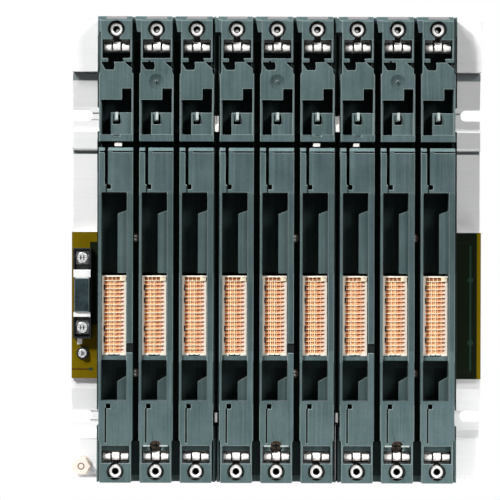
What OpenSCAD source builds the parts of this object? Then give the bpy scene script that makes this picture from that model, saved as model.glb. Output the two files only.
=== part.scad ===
// Nine-slot wall rack for controller expansion modules.
// X runs along the rack, Y into the wall and Z up. The origin is the centre of the four
// wall slots, in the wall plane. A depth, d, is measured from the wall towards the front.

/* [Rack] */
// Distance between the centres of neighbouring module slots
slot_pitch = 25; // [24.6:0.2:27]
// Bare width of the extrusion beyond the outermost slot cells, each side
side_margin = 16.25; // [15.5:0.25:22]
// Height between the lower and the upper wall slots
wall_pitch = 190; // [186:1:200]
// Height of the rack above the upper wall slots
top_overhang = 60; // [59:0.5:66]
// Height of the rack below the lower wall slots
bottom_overhang = 40; // [39.5:0.5:46]
// Width of a wall slot
wall_slot_w = 7; // [5:0.5:8]
// Distance of a wall slot's round end from the side edge
wall_slot_inset = 8.75; // [6:0.25:10]

/* [Extrusion] */
// Thickness of the web that lies on the wall
web_t = 3; // [2.5:0.25:4]
// Wall thickness of the two raised lands
land_t = 2.5; // [2:0.25:3.5]
// Depth of the raised lands that carry the slots
land_d = 11; // [10.5:0.25:11.5]
// Height of the upper land
upper_land_h = 32.25; // [31:0.25:34]
// Height of the lower land
lower_land_h = 25.3; // [25:0.1:27]
// Height of the sloping shoulder above the lower land
shoulder_h = 4.4; // [2:0.2:5]
// Lower edge of the hook rail, above the origin
rail_z = 72.3; // [71:0.1:73]
// Height of the hook rail
rail_h = 13.7; // [10:0.1:15]
// How far the hook rail stands out of the web
rail_out = 2.5; // [2:0.25:4]
// Corner radius of the hook rail
rail_r = 2; // [1:0.25:2]
// Height of the latch groove below the hook rail
latch_groove_h = 1.8; // [1.4:0.1:2.4]
// Depth of the latch groove
latch_groove_t = 1.2; // [0.6:0.1:1.6]
// Width of the two ribs that carry the board
rib_w = 5; // [4.5:0.25:6]
// Height of the ribs above the web
rib_out = 6.6; // [6:0.1:7]
// Height of the stiffening pad below the lower rib
pad_h = 14.3; // [10:0.1:15]
// How far the stiffening pad stands out of the web
pad_out = 1; // [0.5:0.1:1.5]

/* [Backplane board] */
// Top edge of the board, above the origin
board_top = 20.8; // [18:0.1:22]
// Height of the board
board_h = 91.9; // [90:0.1:93]
// Thickness of the board
board_t = 2.4; // [1.6:0.1:2.8]
// Distance of the board's ends from the ends of the extrusion
board_inset = 0.25; // [0:0.05:1]
// Distance of a screw row from the board's edge
board_screw_inset = 3.6; // [3.2:0.1:4]
// How far the board screws stand left of the gap between two slots
board_screw_shift = 1; // [0.5:0.1:1.5]

/* [Guide frame] */
// Depth of the front face of the slots
face_d = 27; // [26.5:0.1:28]
// Wall thickness of the front face
face_t = 2; // [1.6:0.1:2.4]
// How far the ledge above the cross slot stands out of the face
ledge_proud = 0.5; // [0.3:0.1:1]
// Left edge of a slot's face, from the bush
face_left = 10.5; // [10.3:0.05:10.7]
// Right edge of a slot's face, from the bush
face_right = 10.65; // [10.45:0.05:11]
// How much each side of the face draws in at its top and bottom ends
end_step = 0.8; // [0.4:0.1:1]
// Height of the drawn-in top end
top_end_h = 36.2; // [34:0.2:38]
// Height of the drawn-in bottom end
bottom_end_h = 26.4; // [24:0.2:28]
// Thickness of a slot's left wall
left_wall = 1.5; // [1.3:0.1:1.7]
// Thickness of a slot's right wall
right_wall = 1; // [0.9:0.05:1.2]
// Thickness of the inner walls around the recesses
inner_wall = 1.3; // [1:0.1:1.6]
// Thickness of the floors behind the openings
floor_t = 1.5; // [1.2:0.1:2]
// How far the frame's end flanges reach beyond the first face
flange_left = 1.3; // [0.9:0.1:1.4]
// How far the frame's end flanges reach beyond the last face
flange_right = 1.5; // [1.1:0.1:1.5]
// How far the end flanges lie behind the face
flange_drop = 4.5; // [3:0.5:6]
// Height of the notches that the end flanges have beside the upper wall slots
upper_notch_h = 14.9; // [12:0.1:16]
// Height of the notches that the end flanges have beside the lower wall slots
lower_notch_h = 9.9; // [8:0.1:11]
// How far the webs between the slots lie behind the end flanges
web_drop = 2; // [1:0.1:4]
// How far the upper web reaches below the ears
top_web_fall = 5; // [3:0.1:7]
// Distance of the middle web above the ledge of the cross slot
mid_web_rise = 2; // [1:0.1:4]
// Height of the middle web
mid_web_h = 4.5; // [3:0.1:6]
// Height of the foot web
foot_web_h = 25.4; // [20:0.1:26]
// How far the foot web stands out of the floors
foot_web_out = 5; // [3:0.1:7]
// How far the ears at the top reach left of the bush
ear_left = 13.4; // [12:0.1:13.6]
// Height of the ears
ear_h = 10.1; // [8:0.1:11]
// How far the outer edge of an ear leans
ear_slant = 1.4; // [0:0.1:2]
// How far the ears lie behind the face
ear_drop = 0.5; // [0.3:0.1:1.2]
// Height of the bevel along the top edge
top_bevel = 3; // [2:0.2:3.6]
// Left edge of the notch in the top bevel, from the bush
bevel_notch_x = -6.2; // [-6.6:0.1:-5.6]
// Length of the notch in the top bevel
bevel_notch_w = 13; // [10:0.1:15]
// Height of the notch in the top bevel
bevel_notch_h = 1.95; // [1:0.05:2]
// Depth of the notch in the top bevel, behind the face
bevel_notch_t = 2.25; // [1.5:0.05:2.5]
// Thickness of the lips over the edges of the extrusion
lip_t = 1.15; // [0.9:0.05:1.3]
// How far the lips reach over the edges of the extrusion
lip_reach = 2.4; // [1:0.2:4]
// Clearance between the frame and the pieces that it passes
frame_clear = 0.3; // [0.2:0.05:0.5]

/* [Upper openings] */
// Height of the window in front of the upper spring
upper_window_h = 11.7; // [11:0.1:12]
// Distance of that window below the top edge
upper_window_drop = 14.7; // [14.5:0.1:15.6]
// Width of the windows, the same at the top and the bottom
window_w = 17.4; // [16.8:0.1:17.8]
// How far the windows lie right of the bush
window_shift = 0.15; // [0:0.05:0.3]
// Width of the slit from a window to its bush
slit_w = 4.4; // [3:0.1:6]
// Height of the coding pockets below the upper window
pocket_h = 4.9; // [4:0.1:5.4]
// Distance of the coding pockets below the upper window
pocket_drop = 2.3; // [2:0.1:3]
// Right edge of the left coding pocket, from the bush
pocket_right = -1.4; // [-2:0.1:-1]
// How far that edge leans
pocket_skew = 0.4; // [0:0.1:0.8]
// Width of the right coding pocket at its top, which is open to the side
pocket_open_w = 4.5; // [3.6:0.1:5]
// Distance of its foot above the foot of the left pocket
pocket_open_rise = 1.2; // [0.6:0.1:2]
// Left edge of the key way between the window and the coding pockets, from the bush
key_left = -5; // [-5.4:0.1:-4]
// Width of the key way at the window
key_mouth_w = 9; // [8:0.1:9.6]
// How far the right edge of the key way leans
key_skew = 0.7; // [0:0.1:0.9]
// Width of the slit that the middle slot has in place of the key way
key_slit_w = 1.2; // [0.8:0.1:2]
// Height of that slit
key_slit_h = 1; // [0.6:0.1:1.6]
// Diameter of the gate dimple on the middle slot of a frame
dimple_dia = 9.7; // [6:0.1:11]
// Distance of the gate dimple below the top edge
dimple_drop = 40.9; // [40:0.1:43]
// Diameter of the gate dimple's floor
dimple_floor = 4.8; // [3:0.1:6]
// Depth of the gate dimple
dimple_t = 0.7; // [0.4:0.1:1.2]
// Diameter of the gate mark in the dimple
gate_dia = 1.6; // [1:0.1:2.4]
// Height of the hook recess's top band
hook_band_h = 7.8; // [6:0.1:8.4]
// Height of the notch above the hook recess, at its right
hook_notch_h = 7; // [5:0.1:8]
// Left edge of that notch, from the bush
hook_notch_left = 3.7; // [3:0.1:5]
// Height of the set-back plate inside the hook recess
hook_plate_h = 13.8; // [12:0.1:15]
// How far the plate in the hook recess lies behind the face
hook_plate_drop = 2; // [1.5:0.1:3]
// How far the hook recess cuts into the left wall of the face
hook_undercut = 0.5; // [0:0.1:0.8]
// Width of the hook recess's left band
hook_left_w = 6.2; // [5:0.1:6.6]
// Width of the snap tongue in the hook recess
tongue_w = 2.6; // [1.6:0.1:2.8]
// Length of the snap tongue
tongue_h = 5.4; // [4:0.1:7]
// Width of the slit beside the snap tongue
tongue_slit = 1.2; // [0.8:0.1:1.4]
// Width of the slit below the snap tongue
tongue_foot_slit = 1.9; // [0.8:0.1:2.2]
// Height of the ledge above the cross slot
ledge_h = 4.2; // [3:0.1:5]
// Left edge of the notch that some ledges have, from the bush
ledge_notch_left = -1.7; // [-3:0.1:-1]
// Width of that notch
ledge_notch_w = 4.3; // [3:0.1:6]
// Height of that notch
ledge_notch_h = 1.05; // [0.6:0.05:2]
// Distance of the cross slot above the lower edge of the hook rail
cross_rise = 1; // [0.5:0.1:1.6]
// Height of the cross slot
cross_slot_h = 3.7; // [3:0.1:4.5]
// Depth of the cross slot, behind the face
cross_slot_t = 6.5; // [5:0.1:8]
// Height of the bevel below the cross slot
cross_bevel = 1.9; // [1:0.1:2.2]

/* [Lower openings] */
// Top edge of the upper recess, above the origin
recess_top = 45.3; // [44:0.1:47]
// Right edge of both recesses, from the bush
recess_right = 6.85; // [6.7:0.05:7]
// Depth of the ledges in the recesses, behind the face
ledge_drop = 2.4; // [2:0.1:3]
// Thickness of the ledges in the recesses
ledge_t = 1.6; // [1.2:0.1:2]
// Width of the ledges in the recesses
ledge_w = 5.8; // [4:0.1:6]
// Distance of the upper recess's ledge below the recess's top edge
ledge_fall = 11; // [9:0.2:14]
// Distance of the lower recess's ledge below the shelf
lower_ledge_fall = 10; // [8:0.2:12]
// How far the top edge of the upper ledge slopes
ledge_slant = 2.2; // [0:0.1:4]
// How far the top edge of the lower ledge slopes
lower_ledge_slant = 3.3; // [0:0.1:5]
// Height of the shelf below the connector
shelf_h = 2.7; // [2:0.1:3]
// Height of the lower recess
lower_recess_h = 25.2; // [24:0.2:26]
// Width of the slit down the upper plate
groove_w = 2; // [1.6:0.1:2.2]
// Width of the slit down the lower plate
lower_groove_w = 1.1; // [0.8:0.1:1.6]
// Distance of the lower slit's end above the lower window
groove_end = 1.6; // [1:0.1:3]
// Distance of the line slit below the bevel of the cross slot
line_gap = 0.5; // [0.3:0.1:1]
// Width of the line slit
line_w = 0.8; // [0.4:0.1:1]
// Distance of the notch in a strip above the connector's lower edge
strip_notch_rise = 1.9; // [1:0.1:3]
// Height of the notch in a strip
strip_notch_h = 6.2; // [4:0.1:8]
// Depth of the notch in a strip
strip_notch_t = 1.4; // [0.6:0.1:1.6]
// Side of the small square holes
peg_hole = 2.9; // [2:0.1:3.4]
// Distance of the small square holes from the recesses
peg_gap = 2; // [1.5:0.1:3]
// Height of the window in front of the lower spring
lower_window_h = 11; // [10.4:0.1:11.4]
// Distance of that window above the bottom edge
lower_window_rise = 12.1; // [11.9:0.1:12.6]
// Height of the set-back brow at the top of that window
brow_h = 3.4; // [2:0.1:4]
// Distance of the frame screws above the bottom edge
frame_screw_rise = 22.3; // [21.8:0.1:22.5]

/* [Bushes and springs] */
// Distance of the upper bushes below the top edge
upper_bush_drop = 8.3; // [8:0.1:9]
// Distance of the lower bushes above the bottom edge
lower_bush_rise = 6.9; // [6.6:0.1:7.2]
// Outer diameter of a bush
bush_dia = 7.7; // [7:0.1:8.2]
// Diameter of the tapped bore of a bush
bush_bore = 4.2; // [3.6:0.1:4.4]
// Diameter of the pressed root of a bush
bush_root = 5.4; // [5.2:0.1:6]
// Thickness of the closed end of a bush
bush_floor = 1; // [0.6:0.1:2]
// Chamfer at the mouth of a bush
bush_chamfer = 0.4; // [0.2:0.05:0.45]
// How far the bushes lie behind the face
bush_drop = 2.2; // [1:0.1:4]
// Clearance of the face around a bush, on the radius
bush_clear = 1.2; // [0.8:0.1:1.4]
// Thickness of the spring sheet
spring_t = 0.5; // [0.3:0.05:0.7]
// Width of one spring finger
finger_w = 4.5; // [3.8:0.1:4.8]
// Distance between the centres of the fingers
finger_pitch = 5.6; // [5.3:0.1:5.8]
// Bow radius of the upper fingers
upper_bow = 2.6; // [2.2:0.1:3]
// Bow radius of the lower fingers
lower_bow = 2.2; // [1.8:0.1:2.4]
// How much larger the bow of the middle finger is
middle_bow_more = 0.6; // [0.2:0.1:0.6]
// Distance of the upper fingers above the lower edge of their window
upper_finger_rise = 4.2; // [3.6:0.1:4.4]
// Distance of the lower fingers above the lower edge of their window
lower_finger_rise = 1.5; // [1:0.1:1.8]
// How far the finger crests lie behind the face
finger_drop = 3; // [2:0.1:4]
// Height of the bar that joins the fingers
spring_bar_h = 2.4; // [1.6:0.1:3]
// Length of a finger's free leg
spring_leg = 3; // [2:0.1:4]
// Clearance of a spring's ring in the face, on the radius
ring_clear = 0.5; // [0.3:0.05:0.8]

/* [Bus connector] */
// Width of the housing
conn_w = 15.3; // [14.6:0.1:15.4]
// Height of the housing
conn_h = 49.7; // [49.2:0.1:50]
// How far the housing lies left of the bush
conn_shift = 1.15; // [1:0.05:1.2]
// Distance of the housing's top edge below the board's top edge
conn_drop = 27.2; // [26.8:0.1:27.6]
// Width of the gap above the housing
conn_gap = 1.6; // [0.6:0.1:2]
// Height of the housing on the board
conn_out = 11.5; // [10:0.1:12.5]
// Distance between neighbouring contacts
contact_pitch = 2.5; // [2.42:0.01:2.52]
// How far the contacts lie above the middle of the housing
contact_rise = 0.35; // [0:0.05:0.5]
// Side of a contact cavity
cavity_w = 2.1; // [1.9:0.05:2.2]
// Depth of a contact cavity
cavity_t = 6; // [3:0.5:8]
// Width of a contact fork
contact_w = 1.7; // [1.2:0.05:1.85]
// Sheet thickness of a contact fork
contact_t = 0.4; // [0.2:0.05:0.5]
// How far the contact forks end below the housing's front
contact_drop = 0.5; // [0.2:0.1:2]

/* [Terminal and earth points] */
// Distance of the terminal's centre line from the end of the extrusion
terminal_inset = 7.3; // [6.8:0.1:7.6]
// Width of the terminal
terminal_w = 11.3; // [10:0.1:12]
// Distance of the terminal's top edge below the board's top edge
terminal_drop = 10.1; // [9:0.1:12]
// Height of the terminal
terminal_h = 56.6; // [54:0.1:58]
// Distance between the two terminal screws
terminal_pitch = 43.7; // [42:0.1:45]
// Distance of the upper terminal screw below the terminal's top edge
terminal_screw_drop = 6; // [5:0.1:7]
// Height of a screw well
well_h = 13.3; // [12.8:0.1:13.6]
// Distance of the lower screw well's end below its screw
well_foot = 6.9; // [6:0.1:7.4]
// Thickness of the three walls of a screw well
well_wall = 1; // [0.8:0.05:1.15]
// Depth of a screw well
well_t = 5.2; // [4.8:0.1:6]
// Side of a clamp plate
clamp_w = 8.4; // [7:0.1:8.6]
// Width of the jumper link's feet in the screw wells
link_w = 8; // [6:0.1:8.4]
// Width of the jumper link's bars beside the wells
link_bar_w = 10.6; // [9.8:0.1:11]
// Width of the jumper link inside its sleeve
link_neck_w = 7; // [5:0.1:7.4]
// Thickness of the jumper link
link_t = 1; // [0.8:0.1:1.2]
// Distance of the sleeve below the upper terminal screw
sleeve_drop = 12.6; // [11.6:0.1:13]
// Height of the insulating sleeve on the link
sleeve_h = 21.3; // [18:0.1:22]
// Width of the sleeve
sleeve_w = 9.2; // [8.4:0.1:9.6]
// Thickness of the sleeve in front of the link
sleeve_out = 1.3; // [0.8:0.1:2]
// Outer diameter of the insulating washer under the earth screw
earth_washer_dia = 7.9; // [7:0.1:8.4]
// How far the earth screw lies above the middle between the terminal and the lower rib
earth_screw_rise = 0.15; // [-0.5:0.05:0.5]
// Distance of the ground bolt from the end of the extrusion
ground_inset = 6.85; // [6.5:0.05:7.2]
// Distance of the ground bolt above the bottom edge
ground_rise = 9.2; // [9:0.1:12]
// Diameter of the ground bolt
ground_dia = 6; // [5:0.5:6]
// Width of the ground bolt's head across its flats
ground_flats = 10; // [8:0.5:10]
// Outer diameter of the ground bolt's flat washer
ground_washer = 12.4; // [11:0.1:13]

/* [Screws] */
// Diameter of the small screws
screw_dia = 3; // [2.5:0.1:3.2]
// Head diameter of the small screws
screw_head = 5.5; // [5:0.1:6]
// Head diameter of the terminal screws
terminal_head = 6.6; // [6:0.1:7.4]
// Head diameter of the frame screws
frame_head = 7.4; // [6.5:0.1:7.6]
// Height of the screw heads
head_h = 2.2; // [1.6:0.1:2.6]
// Width of a driver slot
driver_slot = 1; // [0.6:0.1:1.2]
// Clearance of a shank in its hole, on the radius
hole_clear = 0.05; // [0.02:0.01:0.1]

/* [Hidden] */
$fn = 48;
through = 1;
nudge = 0.01;
frames = ["left", "centre", "right"];
slots_per_frame = 3;
slot_count = len(frames) * slots_per_frame;

// Overall box and heights of the groups
rack_w = slot_count * slot_pitch + 2 * side_margin;
top_z = wall_pitch / 2 + top_overhang;
bottom_z = -wall_pitch / 2 - bottom_overhang;
profile_top = top_z - lip_t - hole_clear;
profile_bottom = bottom_z + lip_t + frame_clear;
upper_land_z = profile_top - upper_land_h;
lower_land_z = profile_bottom + lower_land_h;
rail_d = web_t + rail_out;
rib_d = web_t + rib_out;
board_d = rib_d + board_t;
board_bottom = board_top - board_h;
board_screw_rows = [board_top - board_screw_inset, board_bottom + board_screw_inset];
board_screw_slots = [1, 5, 8];

// Depths of the guide frame
back_d = board_d + frame_clear;
floor_d = back_d + floor_t;
plate_d = face_d - face_t;
hook_plate_d = face_d - hook_plate_drop;
ledge_d = face_d - ledge_drop;
flange_d = face_d - flange_drop;
web_d = flange_d - web_drop;
inner_left = -face_left + left_wall;
inner_right = face_right - right_wall;

// Heights of the openings
bush_top = top_z - upper_bush_drop;
bush_bottom = bottom_z + lower_bush_rise;
window_left = window_shift - window_w / 2;
window_right = window_shift + window_w / 2;
upper_window_top = top_z - upper_window_drop;
upper_window_z = upper_window_top - upper_window_h;
pocket_top = upper_window_z - pocket_drop;
pocket_z = pocket_top - pocket_h;
dimple_z = top_z - dimple_drop;
cross_z = rail_z + cross_rise;
ledge_z = cross_z + cross_slot_h;
hook_z = ledge_z + ledge_h;
hook_band_z = hook_z + hook_plate_h;
hook_band_top = hook_band_z + hook_band_h;
hook_top = hook_band_top + hook_notch_h;
hook_left = inner_left - hook_undercut;
hook_plate_left = hook_left + hook_left_w;
conn_top = board_top - conn_drop;
conn_bottom = conn_top - conn_h;
shelf_z = conn_bottom - shelf_h;
lower_recess_z = shelf_z - lower_recess_h;
lower_window_z = bottom_z + lower_window_rise;
lower_window_top = lower_window_z + lower_window_h;
frame_screw_z = bottom_z + frame_screw_rise;
pocket_margin = 1;
groove_x = -4.9;
lower_groove_x = -5.5;
narrow_top = top_z - top_end_h;
narrow_bottom = bottom_z + bottom_end_h;
pad_z = board_screw_rows[1] - rib_w / 2 - pad_h;

// Slots with a feature of their own
notched_ledge_slots = [1, 6, 7];
notched_strip_slots = [1, 5, 7];

// Springs, bushes and connectors
bush_seat = land_d + spring_t;
bush_d = face_d - bush_drop;
bow_d = face_d - finger_drop;
upper_bow_z = upper_window_z + upper_finger_rise + upper_bow;
lower_bow_z = lower_window_z + lower_finger_rise + lower_bow;
conn_d = board_d + conn_out;
cavity_d = conn_d - cavity_t;
contact_columns = 5;
contact_rows = 19;

// Terminal and earth points
terminal_x = -rack_w / 2 + terminal_inset;
terminal_top = board_top - terminal_drop;
terminal_bottom = terminal_top - terminal_h;
terminal_screw_rows = [terminal_top - terminal_screw_drop,
                       terminal_top - terminal_screw_drop - terminal_pitch];
terminal_floor = 1.2;
well_floor = 0.6;
seat_d = board_d + terminal_floor + well_floor;
rim_d = seat_d + well_t;
clamp_t = 1.2;
clamp_d = seat_d + link_t;
upper_well_z = terminal_top - well_h;
lower_well_z = terminal_screw_rows[1] - well_foot;
lower_well_top = lower_well_z + well_h;
link_gap = 0.3;
link_top = upper_well_z - link_gap;
link_bottom = lower_well_top + link_gap;
sleeve_top = terminal_screw_rows[0] - sleeve_drop;
sleeve_gap = 0.15;
sleeve_under = 1.6;
lower_rib_top = board_screw_rows[1] + rib_w / 2;
earth_screw_z = (lower_well_z + lower_rib_top) / 2 + earth_screw_rise;
earth_washer_t = 1;
earth_dia = 4;
earth_head = 5.4;
earth_spacer_dia = 7;
ground_x = -rack_w / 2 + ground_inset;
ground_z = bottom_z + ground_rise;
ground_washer_t = 1.2;
ground_lock_t = 1.5;
ground_lock_dia = 10.8;
ground_head_h = 4;
ground_tail = 2;

frame_grey = [0.33, 0.42, 0.43];
aluminium = [0.86, 0.87, 0.87];
steel = [0.72, 0.73, 0.74];

// Centre of slot n
function slot_x(n) = (n - (slot_count + 1) / 2) * slot_pitch;

// Middle slot of the frame f
function middle_slot(f) = f * slots_per_frame + 2;

// Whether slot n is the middle one of its frame
function is_middle(n) = (n - 1) % slots_per_frame == 1;

// Whether slot n is in the list
function listed(n, list) = len(search(n, list)) > 0;

// A front view outline, given depth from d0 to d1
module plan(d0, d1) {
    translate([0, -d0, 0]) rotate([90, 0, 0]) linear_extrude(d1 - d0) children();
}

// A side view outline of depth and height, drawn along X from x0 to x1
module section(x0, x1) {
    translate([x0, 0, 0]) rotate([90, 0, 90]) linear_extrude(x1 - x0) mirror([1, 0]) children();
}

// A rectangle between two edges each way
module span(x0, x1, z0, z1) {
    translate([x0, z0]) square([x1 - x0, z1 - z0]);
}

// A round bar along the depth
module bar(x, z, dia, d0, d1) {
    translate([x, -d0, z]) rotate([90, 0, 0]) cylinder(d = dia, h = d1 - d0);
}

// Corner of the hook rail
module rail_corner(z) {
    translate([rail_d - rail_r, z]) circle(rail_r);
}

// The extrusion's section: web, two hollow lands, hook rail, latch groove, ribs and pad
module profile_section() {
    difference() {
        union() {
            span(0, web_t, profile_bottom, profile_top);
            span(0, land_d, upper_land_z, profile_top);
            polygon([[0, profile_bottom], [land_d, profile_bottom], [land_d, lower_land_z],
                     [web_t, lower_land_z + shoulder_h], [0, lower_land_z + shoulder_h]]);
            span(0, rail_d - rail_r, rail_z, rail_z + rail_h);
            span(0, rail_d, rail_z + rail_r, rail_z + rail_h - rail_r);
            rail_corner(rail_z + rail_r);
            rail_corner(rail_z + rail_h - rail_r);
            for (z = board_screw_rows) span(0, rib_d, z - rib_w / 2, z + rib_w / 2);
            span(0, web_t + pad_out, pad_z, board_screw_rows[1]);
        }
        span(-through, land_d - land_t, upper_land_z + land_t, profile_top - land_t);
        span(-through, land_d - land_t, profile_bottom + land_t, lower_land_z - land_t);
        span(web_t - latch_groove_t, web_t + through, rail_z - latch_groove_h, rail_z);
    }
}

// A wall slot, open to the end of the extrusion on that side
module wall_slot(side, z) {
    x = rack_w / 2 - wall_slot_inset;
    plan(-through, web_t + through) scale([side, 1]) {
        translate([x, z]) circle(d = wall_slot_w);
        span(x, rack_w / 2 + through, z - wall_slot_w / 2, z + wall_slot_w / 2);
    }
}

module mounting_profile() {
    land_back = land_d - land_t - through;
    color(aluminium) difference() {
        section(-rack_w / 2, rack_w / 2) profile_section();
        for (side = [-1, 1], end = [-1, 1]) wall_slot(side, end * wall_pitch / 2);
        for (n = [1 : slot_count], z = [bush_top, bush_bottom])
            bar(slot_x(n), z, bush_root + 2 * hole_clear, land_back, land_d + through);
        for (f = [0 : len(frames) - 1])
            bar(slot_x(middle_slot(f)), frame_screw_z, screw_dia + 2 * hole_clear,
                land_back, land_d + through);
        for (n = board_screw_slots, z = board_screw_rows)
            bar(board_screw_x(n), z, screw_dia + 2 * hole_clear, web_t, rib_d + through);
        bar(terminal_x, earth_screw_z, earth_dia + 2 * hole_clear, -through, web_t + through);
        bar(ground_x, ground_z, ground_dia + 2 * hole_clear, land_back, land_d + through);
    }
}

// Centre of the board screws seen in the gap right of slot n
function board_screw_x(n) = slot_x(n) + slot_pitch / 2 - board_screw_shift;

// A cheese-head screw: seat depth, shank end depth
module screw(x, z, shank, head, seat_d, end_d) {
    difference() {
        union() {
            bar(x, z, head, seat_d, seat_d + head_h);
            bar(x, z, shank, end_d, seat_d);
        }
        plan(seat_d + head_h / 2, seat_d + head_h + through)
            span(x - head, x + head, z - driver_slot / 2, z + driver_slot / 2);
    }
}

module backplane_board() {
    end_x = rack_w / 2 - board_inset;
    color([0.42, 0.36, 0.06]) plan(rib_d, board_d) difference() {
        span(-end_x, end_x, board_bottom, board_top);
        for (n = board_screw_slots, z = board_screw_rows)
            translate([board_screw_x(n), z]) circle(d = screw_dia + 2 * hole_clear);
        translate([terminal_x, earth_screw_z]) circle(d = earth_dia + 2 * hole_clear);
        for (z = terminal_screw_rows)
            translate([terminal_x, z]) circle(d = screw_dia + 2 * hole_clear);
    }
}

module board_screws() {
    color(steel) for (n = board_screw_slots, z = board_screw_rows)
        screw(board_screw_x(n), z, screw_dia, screw_head, board_d, web_t + through);
}

module guide_frame_screws() {
    color(steel) for (f = [0 : len(frames) - 1])
        screw(slot_x(middle_slot(f)), frame_screw_z, screw_dia, frame_head, floor_d, land_d - land_t);
}

// Outline of one slot's face, drawn in at both ends
module face_outline() {
    polygon([[-face_left + end_step, bottom_z], [face_right - end_step, bottom_z],
             [face_right - end_step, narrow_bottom - end_step], [face_right, narrow_bottom],
             [face_right, narrow_top], [face_right - end_step, narrow_top + end_step],
             [face_right - end_step, top_z], [-face_left + end_step, top_z],
             [-face_left + end_step, narrow_top + end_step], [-face_left, narrow_top],
             [-face_left, narrow_bottom], [-face_left + end_step, narrow_bottom - end_step]]);
}

// Coding pocket that is open to the right side of a slot
module open_pocket() {
    foot = pocket_z + pocket_open_rise;
    polygon([[inner_right - pocket_open_w, pocket_top], [face_right + through, pocket_top],
             [face_right + through, foot], [inner_right - pocket_open_rise / 4, foot]]);
}

// Coding pockets below the upper window, and the key way that the window opens into
module coding_pockets(n) {
    slant = pocket_h / 2;
    key_right = key_left + key_mouth_w;
    polygon([[inner_left, pocket_top], [pocket_right, pocket_top],
             [pocket_right + pocket_skew, pocket_z + slant], [pocket_right, pocket_z],
             [inner_left + slant, pocket_z], [inner_left, pocket_top - pocket_h / 5]]);
    open_pocket();
    if (is_middle(n))
        span(key_left, key_left + key_slit_w, pocket_top - through, pocket_top + key_slit_h);
    else
        polygon([[key_left, upper_window_z + through], [key_right, upper_window_z + through],
                 [key_right, upper_window_z], [key_right + key_skew, pocket_top], [key_left, pocket_top]]);
}

// Hook recess with its side notch and the field of its set-back plate
module hook_recess() {
    span(hook_left, inner_right, hook_z, hook_band_top);
    span(hook_notch_left, inner_right, hook_band_top - through, hook_top);
}

// Openings through the face of slot n
module face_openings(n) {
    hole_dia = bush_dia + 2 * bush_clear;
    translate([0, bush_top]) circle(d = hole_dia);
    span(-slit_w / 2, slit_w / 2, upper_window_top - through, bush_top);
    span(window_left, window_right, upper_window_z, upper_window_top);
    coding_pockets(n);
    hook_recess();
    span(-face_left - through, face_right + through, cross_z, ledge_z);
    span(inner_left, recess_right, shelf_z, recess_top);
    span(inner_left, recess_right, lower_recess_z, shelf_z + through);
    for (z = [recess_top + peg_gap, lower_recess_z - peg_gap - peg_hole])
        span(groove_x - groove_w / 2, groove_x - groove_w / 2 + peg_hole, z, z + peg_hole);
    span(window_left, window_right, lower_window_z, lower_window_top);
    span(-slit_w / 2, slit_w / 2, bush_bottom, lower_window_z + through);
    translate([0, bush_bottom]) circle(d = hole_dia);
    if (is_middle(n)) translate([0, frame_screw_z]) circle(d = frame_head + 2 * frame_clear);
    plate_slits();
}

// Slits down the two plates of a slot and along the bevel of the cross slot
module plate_slits() {
    line_z = cross_z - cross_bevel - line_gap;
    span(groove_x - groove_w, groove_x, recess_top + peg_gap + peg_hole, cross_z);
    span(lower_groove_x - lower_groove_w, lower_groove_x,
         lower_window_top + groove_end, lower_recess_z - peg_gap - peg_hole);
    span(-face_left - through, groove_x, line_z - line_w, line_z);
    span(groove_x + 1.4 * groove_w, face_right + through, line_z - line_w, line_z);
}

// Front view of the walls behind the face of one slot
module wall_outline() {
    span(-face_left, inner_left, bottom_z, top_z);
    span(inner_right, face_right, bottom_z, top_z);
    span(window_right, face_right, narrow_top, top_z);
    span(window_right, face_right, bottom_z, narrow_bottom);
    span(-face_left, face_right, top_z - lip_t, top_z);
    span(-face_left, face_right, bottom_z, bottom_z + lip_t);
    span(recess_right, recess_right + inner_wall, lower_recess_z - inner_wall, recess_top + inner_wall);
    for (z = [hook_top, hook_z - inner_wall, recess_top, lower_recess_z - inner_wall])
        span(inner_left, inner_right, z, z + inner_wall);
    span(hook_plate_left, hook_plate_left + inner_wall, hook_z, hook_band_z);
    span(hook_plate_left, inner_right, hook_band_z - inner_wall, hook_band_z);
    span(inner_left, inner_right, pocket_z - pocket_margin - inner_wall, pocket_z - pocket_margin);
}

// Floors behind the openings of slot n
module floor_outline(n) {
    span(inner_left, inner_right, pocket_z - pocket_margin, upper_bow_z - upper_bow + spring_t);
    span(inner_left, inner_right, hook_z, hook_top);
    difference() {
        span(inner_left, inner_right, cross_z - inner_wall, hook_z);
        if (listed(n, notched_ledge_slots))
            span(ledge_notch_left, ledge_notch_left + ledge_notch_w, cross_z, ledge_z);
    }
    span(inner_left, inner_right, recess_top, cross_z - inner_wall);
    span(inner_left, recess_right, conn_top + conn_gap, recess_top);
    span(inner_left, recess_right, lower_recess_z, conn_bottom - frame_clear);
    difference() {
        span(inner_left, inner_right, lower_bow_z + lower_bow + frame_clear, lower_recess_z);
        if (is_middle(n)) translate([0, frame_screw_z]) circle(d = screw_dia + 2 * hole_clear);
    }
}

// Ledges inside the two recesses
module recess_ledges() {
    left = recess_right - ledge_w;
    upper = recess_top - ledge_fall;
    lower = shelf_z - lower_ledge_fall;
    polygon([[left, conn_top + conn_gap], [recess_right, conn_top + conn_gap], [recess_right, upper],
             [left, upper - ledge_slant]]);
    polygon([[left, lower_recess_z], [recess_right, lower_recess_z], [recess_right, lower],
             [left, lower - lower_ledge_slant]]);
}

// Set-back plate of the hook recess with the slit around its snap tongue
module hook_plate() {
    left = -tongue_w / 2;
    foot = hook_band_z - tongue_h;
    difference() {
        span(hook_plate_left, inner_right, hook_z, hook_band_z);
        span(left - tongue_slit, left, foot - tongue_foot_slit, hook_band_z - inner_wall);
        span(left + tongue_w, left + tongue_w + tongue_slit, foot - tongue_foot_slit, hook_band_z - inner_wall);
        span(left - tongue_slit, left + tongue_w + tongue_slit, foot - tongue_foot_slit, foot);
    }
}

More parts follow.
